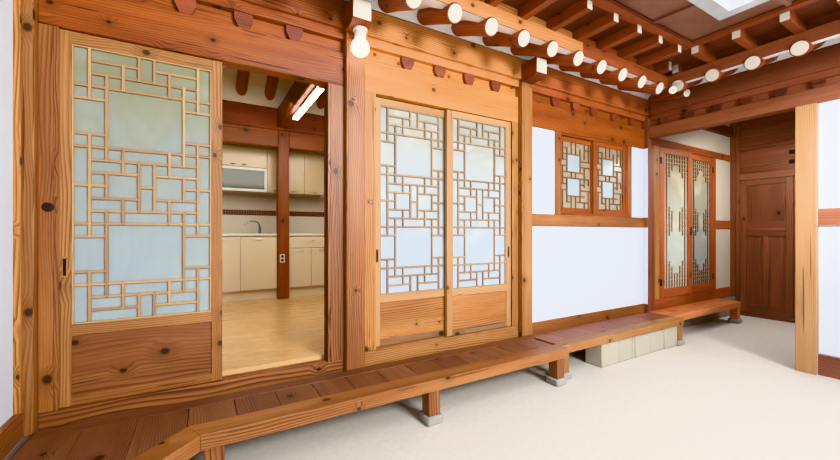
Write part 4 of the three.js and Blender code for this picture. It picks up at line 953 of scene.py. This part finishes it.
def gate_leaf(name, y0, y1, pin):
    """A framed leaf with one high panel and two low ones, each low panel with a raised field."""
    low, high, stile, sunk, x0, x1 = 66, 2209, 85, 12, 8482, 8527
    mid, inner = (y0 + y1) / 2, (y0 + stile - 2, y1 - stile + 2)
    leaf = boxes(
        (x0, x1, y0, y0 + stile, low, high, "z", 0.6),
        (x0, x1, y1 - stile, y1, low, high, "z", 0.5),
        *[(x0 + 0.7, x1 - 0.7, *inner, z0 + 0.5, z1 - 0.5, "y", 0.5)
          for z0, z1 in ((low, low + 110), (1300, 1530), (high - 90, high))],
        (x0 - 5, x0 + 2, inner[0] + 4, inner[1] - 4, 1392, 1432, "y", 0.7, 0, 2),
        (x0 + 0.8, x1 - 0.8, mid - 35, mid + 35, low + 108, 1302, "z", 0.6),
        (x0 + sunk, x1 - sunk, *inner, 1528, high - 88, "z", 0.5, 0, 1))
    for a, b in ((inner[0], mid - 33), (mid + 33, inner[1])):
        boxes((x0 + sunk, x1 - sunk, a, b, low + 108, 1302, "z", 0.35, 0, 1),
              (x0 + sunk - 5, x0 + sunk + 2, a + 34, b - 34, low + 150, 1262, "z", 0.45, 0, 4), shape=leaf)
    box(leaf, x0 + 4, x0 + 20, pin - 8, pin + 8, 60.3, low + 5, "z", 0.5, 1, 1)
    make(f"gate_{name}", leaf, [GATE, IRON], f"gate_leaf_{name}", f"gate_leaf_{name}_body")


# ---------------------------------------------------------------- porch

RIM_LOW, RIM_WIDE, BOARD_LOW = PORCH_TOP - 81, 135, PORCH_TOP - 40


def leg(x, y):
    return (x - 48, x + 48, y - 48, y + 48, 60, RIM_LOW + 5, "z", 0.5, 1, 4)


def make_porch():
    beams, deck, wide = Shape(), Shape(), RIM_WIDE
    front, south, right = -565, SOUTH_LINE + 20, 3640
    turn = (525, front - 275)
    lengths = [[(802, front), (right, front), (right, front + wide), (746, front + wide)],
               [(800, front), (744, front + wide), (turn[0] - wide, turn[1] + 56), turn],
               [(turn[0], turn[1] - 2), (turn[0] - wide, turn[1] + 54),
                (turn[0] - wide, south), (turn[0], south)]]
    for outline, grain, tone in zip(lengths, "xxy", (0.72, 0.66, 0.5)):
        prism(beams, outline, "z", RIM_LOW, PORCH_TOP, grain, tone)
    legs = [*[(x, front + 70) for x in (864, 2230, 3560)], (turn[0] - 70, -1500), (turn[0] - 70, south + 100)]
    boxes(*[leg(x, y) for x, y in legs], shape=beams)
    make("porch_rim", beams, [PINE, BROWN], "porch_beams")
    strip, inside, z0 = -EDGE - 112, front + wide + 0.5, BOARD_LOW
    box(deck, 62, right - 1, strip + 1.5, -EDGE, z0, PORCH_TOP - 0.5, "x", 0.45)
    for i in range(12):
        a, b = 742 + 238 * i, min(742 + 238 * (i + 1), right)
        box(deck, a + 1.2, b - 1.2, inside, strip, z0, PORCH_TOP - rng.uniform(0.6, 2.0), "y", None, 0, 2.5)
    for outline, low, tone in (
            ([(740, inside), (740, strip), (507, strip), (507, -672)], 1, 0.6),
            ([(505, -674), (505, strip), (272, strip), (272, -787), (390, -787)], 1.6, 0.35),
            ([(270, -787), (270, strip), (62, strip), (62, -787)], 1, 0.55)):
        prism(deck, outline, "z", z0, PORCH_TOP - low, "y", tone)
    y = -789
    while y > south + 10:
        step = max(y - 236, south)
        top = PORCH_TOP - rng.uniform(0.6, 2.0)
        box(deck, 62, turn[0] - wide - 0.5, step, y - 2, z0, top, "x", None, 0, 2.5)
        y = step - 0.5
    make("porch_planks", deck, [DECK], "porch_boards")
    side_porch("middle", 3640.3, 5840, -495, RED, AGED)
    side_porch("step", 5840.3, 7800, -385, SUNLIT_STEP, SUNLIT_STEP)
    make_stones(legs)


def side_porch(name, x0, x1, front, boards, rim):
    z0 = BOARD_LOW
    part = boxes((x0, x1, front, front + RIM_WIDE - 2, RIM_LOW, PORCH_TOP, "x", 0.6, 1, 5),
                 (x0, x1, -EDGE - 92, -EDGE, z0, PORCH_TOP - 0.5, "x", 0.5))
    count = round((x1 - x0) / 240)
    step = (x1 - x0) / count
    for i in range(count):
        a, top = x0 + i * step, PORCH_TOP - rng.uniform(0.6, 1.8)
        box(part, a + 1, a + step - 1, front + RIM_WIDE, -EDGE - 94, z0, top, "y", None, 0, 2.5)
    boxes(leg(x0 + 60, front + 60), leg(x1 - 50, front + 60), shape=part)
    make(f"porch_{name}_boards", part, [boards, rim], f"porch_{name}")


def make_stones(legs):
    """Rough stones under the porch legs, and a row of dressed blocks."""
    def bent(p):
        k = noise.noise_vector(Vector((p[0] / 90, p[1] / 90, p[2] / 60))) * 7
        return (p[0] + k.x, p[1] + k.y, max(0.0, p[2] + k.z * 0.5) if p[2] > 10 else p[2])

    feet = legs + [(3700.3, -435), (5790, -435), (5900.3, -325), (7750, -325)]
    stones = boxes(*[(x - 68, x + 68, y - 68, y + 68, 0, 62, "x", None, 0, 9) for x, y in feet], place=bent)
    make("leg_pads", stones, [PAD])
    starts = [(4266 + 297 * i, -470 + 5 * (i % 2)) for i in range(5)]
    blocks = boxes(*[(x, x + 290, y, -278, 0, 242, "z", None, 0, 7) for x, y in starts])
    make("porch_blocks", blocks, [BLOCK])


# ---------------------------------------------------------------- rafters and soffits

def slopes():
    """Each roof slope: its wing, 1 for the court side or -1 for the outer one, the name of that side, and a
    function from (place along the eaves, distance from the ridge, height) to a point."""
    for wing, lay in (("main", lambda u, run, z: (u, RIDGE_Y - run, z)),
                      ("west", lambda u, run, z: (WEST_RIDGE + run, u, z)),
                      ("east", lambda u, run, z: (EAST_RIDGE - run, u, z))):
        for sign, side in ((1, "court"), (-1, "outer")):
            yield wing, sign, side, lambda u, out, z, lay=lay, sign=sign: lay(u, sign * out, z)


def roof_ends(wing, sign, out, south=0, north=0):
    """Where a line along the eaves starts and ends, mitred where the wings meet."""
    if wing == "main":
        return WEST_RIDGE + sign * out, EAST_RIDGE - sign * out
    return SOUTH_EDGE + south, RIDGE_Y - sign * out - north


def rafter_places(wing, court):
    """Places along the eaves, each with the distances where its rafter starts and where its two tiers end."""
    places = []
    first, pitch = (FIRST_RAFTER - (0 if court else 95), -PITCH) if wing == "main" else WING_RAFTERS[wing]
    for n in range(0 if court and wing != "main" else -14, 40):
        if wing == "main":
            u = first + PITCH * (n + 3)
            beyond = max(WEST_RIDGE - u, u - EAST_RIDGE)
            shown = WEST_RIDGE + RAFTER_END + 100 < u < EAST_RIDGE - RAFTER_END - 110 if court else (
                WEST_RIDGE - ROOF_EDGE + 250 < u <= EAST_RIDGE + ROOF_EDGE - 200)
        else:
            u = first - pitch * n
            beyond = u - RIDGE_Y
            shown = u >= SOUTH_EDGE + 100 and (court or u < RIDGE_Y + ROOF_EDGE - 200)
        start = 62 if court else max(62, beyond + 110)
        if shown and court:
            places.append((u, start, min(RAFTER_END, -beyond - 110), min(FLY_END, -beyond - 60)))
        elif shown and start < FLY_END - 150:
            places.append((u, start, RAFTER_END, FLY_END))
    return places


def eave_strip(shape, wing, sign, point, outs, heights, tone, finish, first=-FAR, last=FAR):
    """A strip along the eaves between two distances from the ridge and two heights."""
    corners = []
    for out in outs:
        a, b = roof_ends(wing, sign, out, 2, 1)
        for z in heights:
            corners += [point(max(a, first), out, z), point(min(b, last), out, z)]
    solid(shape, corners, SIX_FACES, "x" if wing == "main" else "y", tone, finish)


def rafter(shape, point, u, start, reach, drop):
    """A round rafter from start to reach whose tip drops a little, with a white disc on its end."""
    outs = [start + (reach - start) * k / 7 for k in range(7)] + [reach - 7, reach]
    path = [point(u, out, axis_z(out) - drop * (max(0, out - 1400) / 543) ** 2) for out in outs]
    radii = [RAFTER_RADIUS - 1.5] * (len(path) - 1) + [RAFTER_RADIUS - 5]
    tube(shape, path, radii, 20, rng.uniform(0.2, 0.75), wobble=3.0)
    last, ahead = Vector(path[-1]), (Vector(path[-1]) - Vector(path[-2])).normalized()
    tube(shape, [last - ahead * 3, last + ahead * 1.2], (RAFTER_RADIUS - 11, RAFTER_RADIUS - 12), 20, 0.5, 1)


def make_rafters():
    """Round rafters with white ends, the strip over them, and the square flying rafters that it carries."""
    near = RAFTER_END - STRIP_WIDE
    for wing, sign, side, point in slopes():
        logs = Shape()
        main_court = wing == "main" and sign > 0
        for u, start, reach, fly in rafter_places(wing, sign > 0):
            if reach > start + 120:
                rafter(logs, point, u, start, reach, END_DROP[wing])
            if fly > RAFTER_END - 30:
                a = point(u - FLY_WIDE / 2, max(start, near + 6), FLY_Z - FLY_TALL / 2)
                b = point(u + FLY_WIDE / 2, fly, FLY_ROOF - 1)
                extents = [value for pair in zip(a, b) for value in pair]
                grain = "y" if wing == "main" else "x"
                box(logs, *extents, grain, rng.uniform(0.3, 0.8), 0, 4, end=1)
        # The main court strip is drawn in two runs: the left one in the light strip timber as painted sunlight,
        # the right one in the darker rafter timber as painted shade
        ends = [(2, -FAR, STRIP_SHADE_EDGE - 1), (0, STRIP_SHADE_EDGE + 1, FAR)] if main_court else [(2, -FAR, FAR)]
        strip = (logs, wing, sign, point)
        for kind in ends:
            eave_strip(*strip, (near, RAFTER_END - 0.5), (STRIP_LOW, STRIP_TOP), 0.7, *kind)
            eave_strip(*strip, (near + 8, near + 22), (STRIP_TOP - 1, FLY_ROOF - 2), 0.5, *kind)
        eave_strip(*strip, (near + 2, ROOF_EDGE - 40), (FLY_ROOF - 12, FLY_ROOF - 1), 0.5, 3)
        eave_strip(*strip, (ROOF_EDGE - 90, ROOF_EDGE - 4), (FLY_ROOF - 32, FLY_ROOF - 2), 0.4, 0)
        if main_court:
            head = Vector((5800, -150, 3080))
            for foot in ((5353, -605, 2950), (5588, -640, 2950)):
                path = [tuple(head + (Vector(foot) - head) * t) for t in (0.0, 0.35, 0.7, 0.985, 1.0)]
                tube(logs, path, (45, 45, 45, 45, 41), 16, 0.4, end=1, wobble=2.0)
        finishes = [RAFTER, WHITE_END, STRIP if main_court else RED, DARK]
        if sign > 0:
            make(f"rafter_set_{wing}", logs, finishes, f"rafters_{wing}")
        else:
            make(f"rafter_set_{wing}_outer", logs, finishes)


def make_soffits():
    """Plaster between the rafters, outside and inside the rooms, and down to the top of each eave purlin."""
    def over(out):
        return out, axis_z(out) + CEILING_OVER

    for wing, sign, side, point in slopes():
        edge, inner = (1345, 1240) if (wing, sign) == ("main", -1) else (1338, 1300)
        under = [(RAFTER_END - STRIP_WIDE - 9, STRIP_LOW - 3), (RAFTER_END - 6, STRIP_LOW - 3)]
        bend = ((edge + inner) / 2 + 14, PURLIN_HIGH + 70)
        spans = {"soffit": [over(RIDGE_Y + 60 + 102 * k) for k in range(3)] + under,
                 "ceiling": [over(2 + 324 * k) for k in range(5)],
                 "cove": [(edge, PURLIN_HIGH - 1), bend, over(inner)]}
        if sign > 0:
            spans["infill"] = [(1477, PURLIN_HIGH - 1), (1489, PURLIN_HIGH + 56), over(1518)]
        for name, rows in spans.items():
            lines, shape = [], Shape()
            for out, z in rows:
                a, b = roof_ends(wing, sign, out, 70)
                lines.append([point(a + (b - a) * m / 8, out, z) for m in range(9)])
            sheet(shape, lines)
            finish = SOFFIT if name in ("soffit", "infill") else CEILING
            make(f"{name}_{wing}_{side}", shape, [finish])


# ---------------------------------------------------------------- roof

def cover_tile(shape, point, u, out0, out1, radius):
    """A half-round shell, a little wider at its lower end."""
    sides, tone = 8, rng.random()
    points = []
    for out, r, lift in ((out0, radius * 0.86, 0), (out1, radius, 4)):
        for k in range(sides + 1):
            a = math.pi * k / sides
            points.append(point(u + math.cos(a) * r, out, tile_z(out) + lift + math.sin(a) * r * 0.9 - 6))
    faces = [[k, k + 1, sides + 2 + k, sides + 1 + k] for k in range(sides)]
    maps = [[(0, k / 9), (0, (k + 1) / 9), (0.3, (k + 1) / 9), (0.3, k / 9)] for k in range(sides)]
    shape.add(points, faces, maps, tone, [0] * sides, True)
    rim = range(sides + 1)
    shape.add(points[sides + 1:], [list(rim)], [[(0, i / 9) for i in rim]], tone, [0])


def make_tiles():
    pitch, radius = 292, 78
    for wing, sign, side, point in slopes():
        tiles = Shape()
        a, b = roof_ends(wing, sign, ROOF_EDGE if sign < 0 else 0)
        count = int((b - a) // pitch)
        margin = ((b - a) - count * pitch) / 2
        for i in range(count + 1):
            u = a + margin + i * pitch
            if wing != "main":
                u = max(u, SOUTH_EDGE + 82)
            beyond = max(WEST_RIDGE - u, u - EAST_RIDGE) if wing == "main" else u - RIDGE_Y
            low, high = (0, -beyond) if sign > 0 else (max(0, beyond), ROOF_EDGE)
            low, high = max(low + 60, 112), min(high - 30, ROOF_EDGE - 3)
            if high - low < 120:
                continue
            steps = max(1, round((high - low) / 285))
            for k in range(steps):
                ends = [low + (high - low) * j / steps for j in (k, k + 1)]
                cover_tile(tiles, point, u, *ends, radius)
        make(f"cover_tiles_{wing}_{side}", tiles, [TILE])


def ridge_length(shape, axis, start, stop, middle):
    """Courses of flat ridge tiles with a round cap, laid in lengths."""
    low, high, cap, courses, wide = RIDGE_Z + GAP, RIDGE_Z + 330, 70, 6, 200
    length = stop - start
    count = max(1, round(length / 310))
    step = (high - cap - low) / courses
    for i in range(count):
        run = (start + length * i / count + 1.5, start + length * (i + 1) / count - 1.5)
        for c in range(courses):
            half, z0 = wide / 2 - (0 if c % 2 else 9), low + c * step
            side = (middle - half, middle + half)
            plan = (*run, *side) if axis == "x" else (*side, *run)
            box(shape, *plan, z0 + 0.6, z0 + step - 0.6, axis)
        centre = [(t, middle, high - 77) if axis == "x" else (middle, t, high - 77) for t in run]
        tube(shape, centre, (75, 75))


def make_ridges():
    ridge = Shape()
    ridge_length(ridge, "x", WEST_RIDGE - 100, EAST_RIDGE + 100, RIDGE_Y)
    for x in (WEST_RIDGE, EAST_RIDGE):
        ridge_length(ridge, "y", SOUTH_EDGE + 2, RIDGE_Y - 110, x)
    outs = [90 + (2286 - 90) * k / 10 for k in range(11)]
    for ridge_x, side in ((WEST_RIDGE, -1), (EAST_RIDGE, 1)):
        for o0, o1 in zip(outs, outs[1:]):
            for c in range(4):
                half = 78 - (0 if c % 2 else 8)
                ring = [(ridge_x + side * out - side * w * DIAGONAL, RIDGE_Y + out + w * DIAGONAL,
                         tile_z(out) + lift)
                        for out in (o0 + 1.5, o1 - 1.5) for w in (-half, half)
                        for lift in (4 + c * 34, 4 + (c + 1) * 34 - 1.5)]
                solid(ridge, ring, SIX_FACES, "x")
            path = [(ridge_x + side * out, RIDGE_Y + out, tile_z(out) + 145) for out in (o0 + 1.5, o1 - 1.5)]
            tube(ridge, path, (62, 62), 12)
    make("ridge_courses", ridge, [RIDGE], "ridge_stack")


def make_canopy():
    """Ribs on the sheet-metal canopy, and a lighter gutter."""
    parts = Shape()
    near, inner = ROOF_EDGE, RIDGE_Y + 1325
    gutter = (((2739, 2841), (3154.5, 3158)), ((2737.5, 2740.5), (3154.5, 3238)),
              ((2839.5, 2842), (3154.5, 3258)))
    for wing, sign, _, point in slopes():
        if sign < 0:
            continue
        starts, stops = zip(roof_ends(wing, 1, near), roof_ends(wing, 1, inner))
        lo, hi = max(starts), min(stops)
        count = max(1, round((hi - lo) / 620))
        for i in range(count):
            u = lo + (hi - lo) * (i + 0.5) / count
            corners = [point(u + w, out, z + d) for out, z in ((near + 2, 3240), (inner - 2, 3222))
                       for w in (-15, 15) for d in (-24, 1)]
            solid(parts, corners, SIX_FACES, "y" if wing == "main" else "x")
        for outs, heights in gutter:
            eave_strip(parts, wing, 1, point, outs, heights, 0.5, 1)
    make("canopy_ribs", parts, [SHEET, GUTTER])


# ---------------------------------------------------------------- walls

def wall_posts(shape, low, high, *plans):
    boxes(*[(*plan, low, high, "z", None, 0, 4) for plan in plans], shape=shape)


def make_outer_timbers():
    """Timber rails and posts over the plaster of the outer walls, each a little proud of its solid."""
    west, east, south, north, top, low_top = -2875, 8575, -3640, 3535, FLY_ROOF - 14, 2720
    south_post, south_face = (south - 35.5, south + 71), (south - 35.5, south + 30)
    timbers = Shape()
    for z0, z1, end in ((300.3, 432, 16), (RAIL_LOW - 1, RAIL_HIGH + 1, -16), (2459, 2641, -16)):
        boxes((west - 31.5, east + 31.5, north - 20, north + 31.5, z0, z1, "x", 0.5),
              (west - 31.5, west + 10, south - 31, north + 31, z0 + 0.4, z1 - 0.4, "y", 0.5),
              (east - 10, east + 31.5, 76, north + 31, z0 + 0.4, z1 - 0.4, "y", 0.45),
              (west - 31, end, south - 31.5, south + 10, z0 + 0.2, z1 - 0.2, "x", 0.55), shape=timbers)
    wall_posts(timbers, 421, top,
               *[(x - 66, x + 66, north - 30, north + 35.5)
                 for x in (-2700, -1100, 700, 2500, 3800, 5850, 7850)],
               (east - 70, east + 35.5, north - 70, north + 35.5), (east - 30, east + 35.5, 1684, 1816),
               *[(west - 35.5, west + 30, y - 66, y + 66) for y in (-1800, 0, 1750)])
    wall_posts(timbers, 421, low_top, (west - 35.5, west + 71, *south_post), (-86, 20.5, *south_post),
               (WEST_RIDGE - 66, WEST_RIDGE + 66, *south_face))
    make("outer_timbers_north_west", timbers, [PINE])
    court = boxes((-20, 16.5, -3610, -76, 300.3, 433, "y", 0.5),
                  (-20, 16.5, -3610, -1824, RAIL_LOW - 1, RAIL_HIGH + 1, "y", 0.5),
                  (-66, 20.5, -1891.5, -1758.5, 421, EAST_LOW - 6, "z", 0.6, 0, 4))
    make("court_timbers_west", court, [PINE])
    room, face = Shape(), COLUMN_X[3] - 25
    for i, (z0, z1) in enumerate(((0, 201), (RAIL_LOW - 1, RAIL_HIGH + 31), (EAST_LOW - 1, EAST_HIGH + 1))):
        boxes((east - 10, east + 31.5, south - 31, PASSAGE_LINE + 28, z0 + 0.4, z1 - 0.4, "y", 0.5),
              (face - 31, east + 31, south - 31.5, south + 10, z0 + 0.2, z1 - 0.2, "x", 0.5), shape=room)
        if i < 2:
            box(room, face - 31.5, face + 10, south - 31, PASSAGE_LINE - 77, z0 + 0.4, z1 - 0.4, "y", 0.6)
    wall_posts(room, 189, top, (east - 30, east + 35.5, -1706, -1574))
    wall_posts(room, 189, low_top, (east - 70, east + 35.5, *south_post))
    wall_posts(room, 189, EAST_LOW - 40, (face - 35.5, face + 71, *south_post))
    wall_posts(room, 189, low_top, (EAST_RIDGE - 66, EAST_RIDGE + 66, *south_face))
    make("east_room_timbers", room, [RED])


# ---------------------------------------------------------------- kitchen and lamps

def handle(shape, x, y, z, half=52):
    tube(shape, [(x - half, y - 16, z), (x, y - 21, z), (x + half, y - 16, z)], (4.5, 5.5, 4.5), 8, 0.5, 5)
    for dx in (6 - half, half - 6):
        tube(shape, [(x + dx, y + 1, z), (x + dx, y - 17, z)], (4, 4), 8, 0.5, 5)


def make_kitchen():
    """Units on both sides of the inner post: base doors, worktop, splashback and wall units."""
    x0, x1, end = 280, 2900, 2497
    front, back = INNER_LINE, BACK_LINE - 20.3
    left, right = COLUMN_X[1] - 78, COLUMN_X[1] + 78
    units = boxes((x0, x1, front + 45, back, FLOOR_TOP + GAP, 560, "x", 0.5, 0, 2),
                  (x0, x1, front + 20, back, 560, 1311, "x", 0.5, 0, 2))
    for spans, low, high, grain, grip in (
            (((284, 798), (802, 1269), (1273, left - 3)), 566, 1298, "z", 1268),
            (((right + 5, 2222), (2226, 2545), (2549, x1 - 4)), 566, 1128, "z", 1098),
            (((right + 5, 2545), (2549, x1 - 4)), 1134, 1298, "x", 1240)):
        for a, b in spans:
            box(units, a, b, front, front + 20, low, high, grain, 0.5)
            handle(units, (a + b) / 2, front, grip)
    boxes((x0, left, front - 12, back, 1311, 1342, "x", 0.5, 1, 5),
          (right, x1, front - 12, back, 1311, 1342, "x", 0.5, 1, 5),
          (left, right, front + 78, back, 1311.5, 1341.5, "x", 0.5, 1),
          (x0, x1, back - 12, back, 1342, 1630, "x", 0.5, 2, 1),
          (x0, x1, back - 12, back, 1630, 1955, "x", 0.5, 6, 1),
          *[(x, x + 32, back - 16, back - 11, z, z + 24, "x", None, 3, 1.5)
            for z in (1622, 1649, 1676) for x in range(x0 + 6, x0 + 6 + 35 * 74, 35)],
          (x0, end, back - 312, back, 1950, 2664, "x", 0.5, 7, 2), shape=units)
    face, low, a, b = back - 330, 1954, 900, 1650
    doors = [(x0 + 3, 590), (594, 896), (a, b), (1654, 1880), (1883, 2188), (2192, end - 2)]
    for d0, d1 in doors:
        z0, grips = (2304, (-70, 70)) if d0 == a else (low, (0,))
        box(units, d0, d1, face, face + 18, z0, 2660, "z", 0.5, 7)
        for dx in grips:
            handle(units, (d0 + d1) / 2 + dx, face, z0 + 30, 34)
    boxes(*[(p, q, face, face + 18, z0, z1, "z", 0.5, 1, 2) for p, q, z0, z1 in (
              (a, a + 34, low, 2298), (b - 34, b, low, 2298),
              (a + 34, b - 34, 2262, 2298), (a + 34, b - 34, low, 1990))],
          (a + 30, b - 30, face + 6, face + 12, 1986, 2266, "x", 0.5, 4, 1), shape=units)
    # The last two finishes are darker copies of the splashback and the kitchen front: painted shade under and
    # on the wall units
    finishes = [CREAM, WORKTOP, SPLASH, MOSAIC, SMOKED, METAL, SPLASH_SHADED, CREAM_SHADED]
    make("kitchen", units, finishes, "kitchen_units")
    tap = Shape()
    tube(tap, [(1560, 3200, 1342), (1560, 3200, 1390), (1560, 3196, 1450)], (24, 21, 18), 14, 0.5)
    neck = [(1560, 3196, 1440), (1540, 3186, 1500), (1480, 3162, 1528), (1400, 3136, 1520), (1340, 3120, 1470)]
    tube(tap, neck, (14, 12, 11, 12, 15), 12, 0.5)
    make("kitchen_tap", tap, [METAL])


def make_lamps():
    lamp = Shape()
    x, y, top = COLUMN_X[1] + 5, -150, NOSE_LOW - GAP
    tube(lamp, [(x, y, top - d) for d in (0, 12, 16, 58, 70)], (54, 54, 46, 44, 38), 24, 0.5)
    globe = [(x, y, top - 66 - d) for d in (0, 6, 20, 42, 68, 92, 112, 126, 134, 137.5)]
    tube(lamp, globe, (22, 30, 46, 62, 69, 66, 54, 36, 18, 2), 24, 0.5, 1)
    make("bare_lamp", lamp, [CERAMIC, BULB], "porch_lamp")
    strip = boxes((1800, 1860, 850, 2090, 2800, 2829.6, "y", 0.5, 1, 4))
    for x in (1812, 1850):
        tube(strip, [(x, y, 2782) for y in (880, 900, 2040, 2060)], (11, 13, 13, 11), 12, 0.5)
    boxes(*[(1794, 1866, y - 14, y + 14, 2768, 2802, "y", 0.5, 1) for y in (872, 1470, 2068)], shape=strip)
    make("tube_lamp", strip, [TUBE, CERAMIC])
    x, y = COLUMN_X[1] - 20, INNER_LINE - HALF
    socket = boxes((x - 34, x + 34, y - 9, y + 1, 935, 1055, "z", 0.5, 0, 4))
    for z in (969, 1021):
        tube(socket, [(x, y - 8, z), (x, y - 10, z)], (19, 18), 16, 0.5, 1)
    make("wall_socket", socket, [CERAMIC, IRON])


# ---------------------------------------------------------------- assembly

COATS = [
    (STONE, "foundation"), (FLOOR, "floor floor_east"), (PLASTER, "wall_c back_wall west_walls east_walls"),
    (SHADED_PLASTER, "wall_d"), (PAN, "roof_main roof_west roof_east"), (SHEET, "eave_canopy"),
    (PANE_A, "glass_a_front glass_a_rear"), (PANE_B, "glass_b_left glass_b_right back_windows west_window"),
    (PANE_D, "glass_d_left glass_d_right"),
]

make_camera()
make_light()
make_stage()
for coating, names in COATS:
    for packed in names.split():
        coat(packed, coating)
make_columns()
make_lintels()
make_purlin()
make_tie_beams()
make_inner_frame()
make_wing_beams()
make_sliding_doors()
make_bay_c()
make_bay_d()
make_gate()
make_porch()
make_rafters()
make_soffits()
make_tiles()
make_ridges()
make_canopy()
make_outer_timbers()
make_kitchen()
make_lamps()
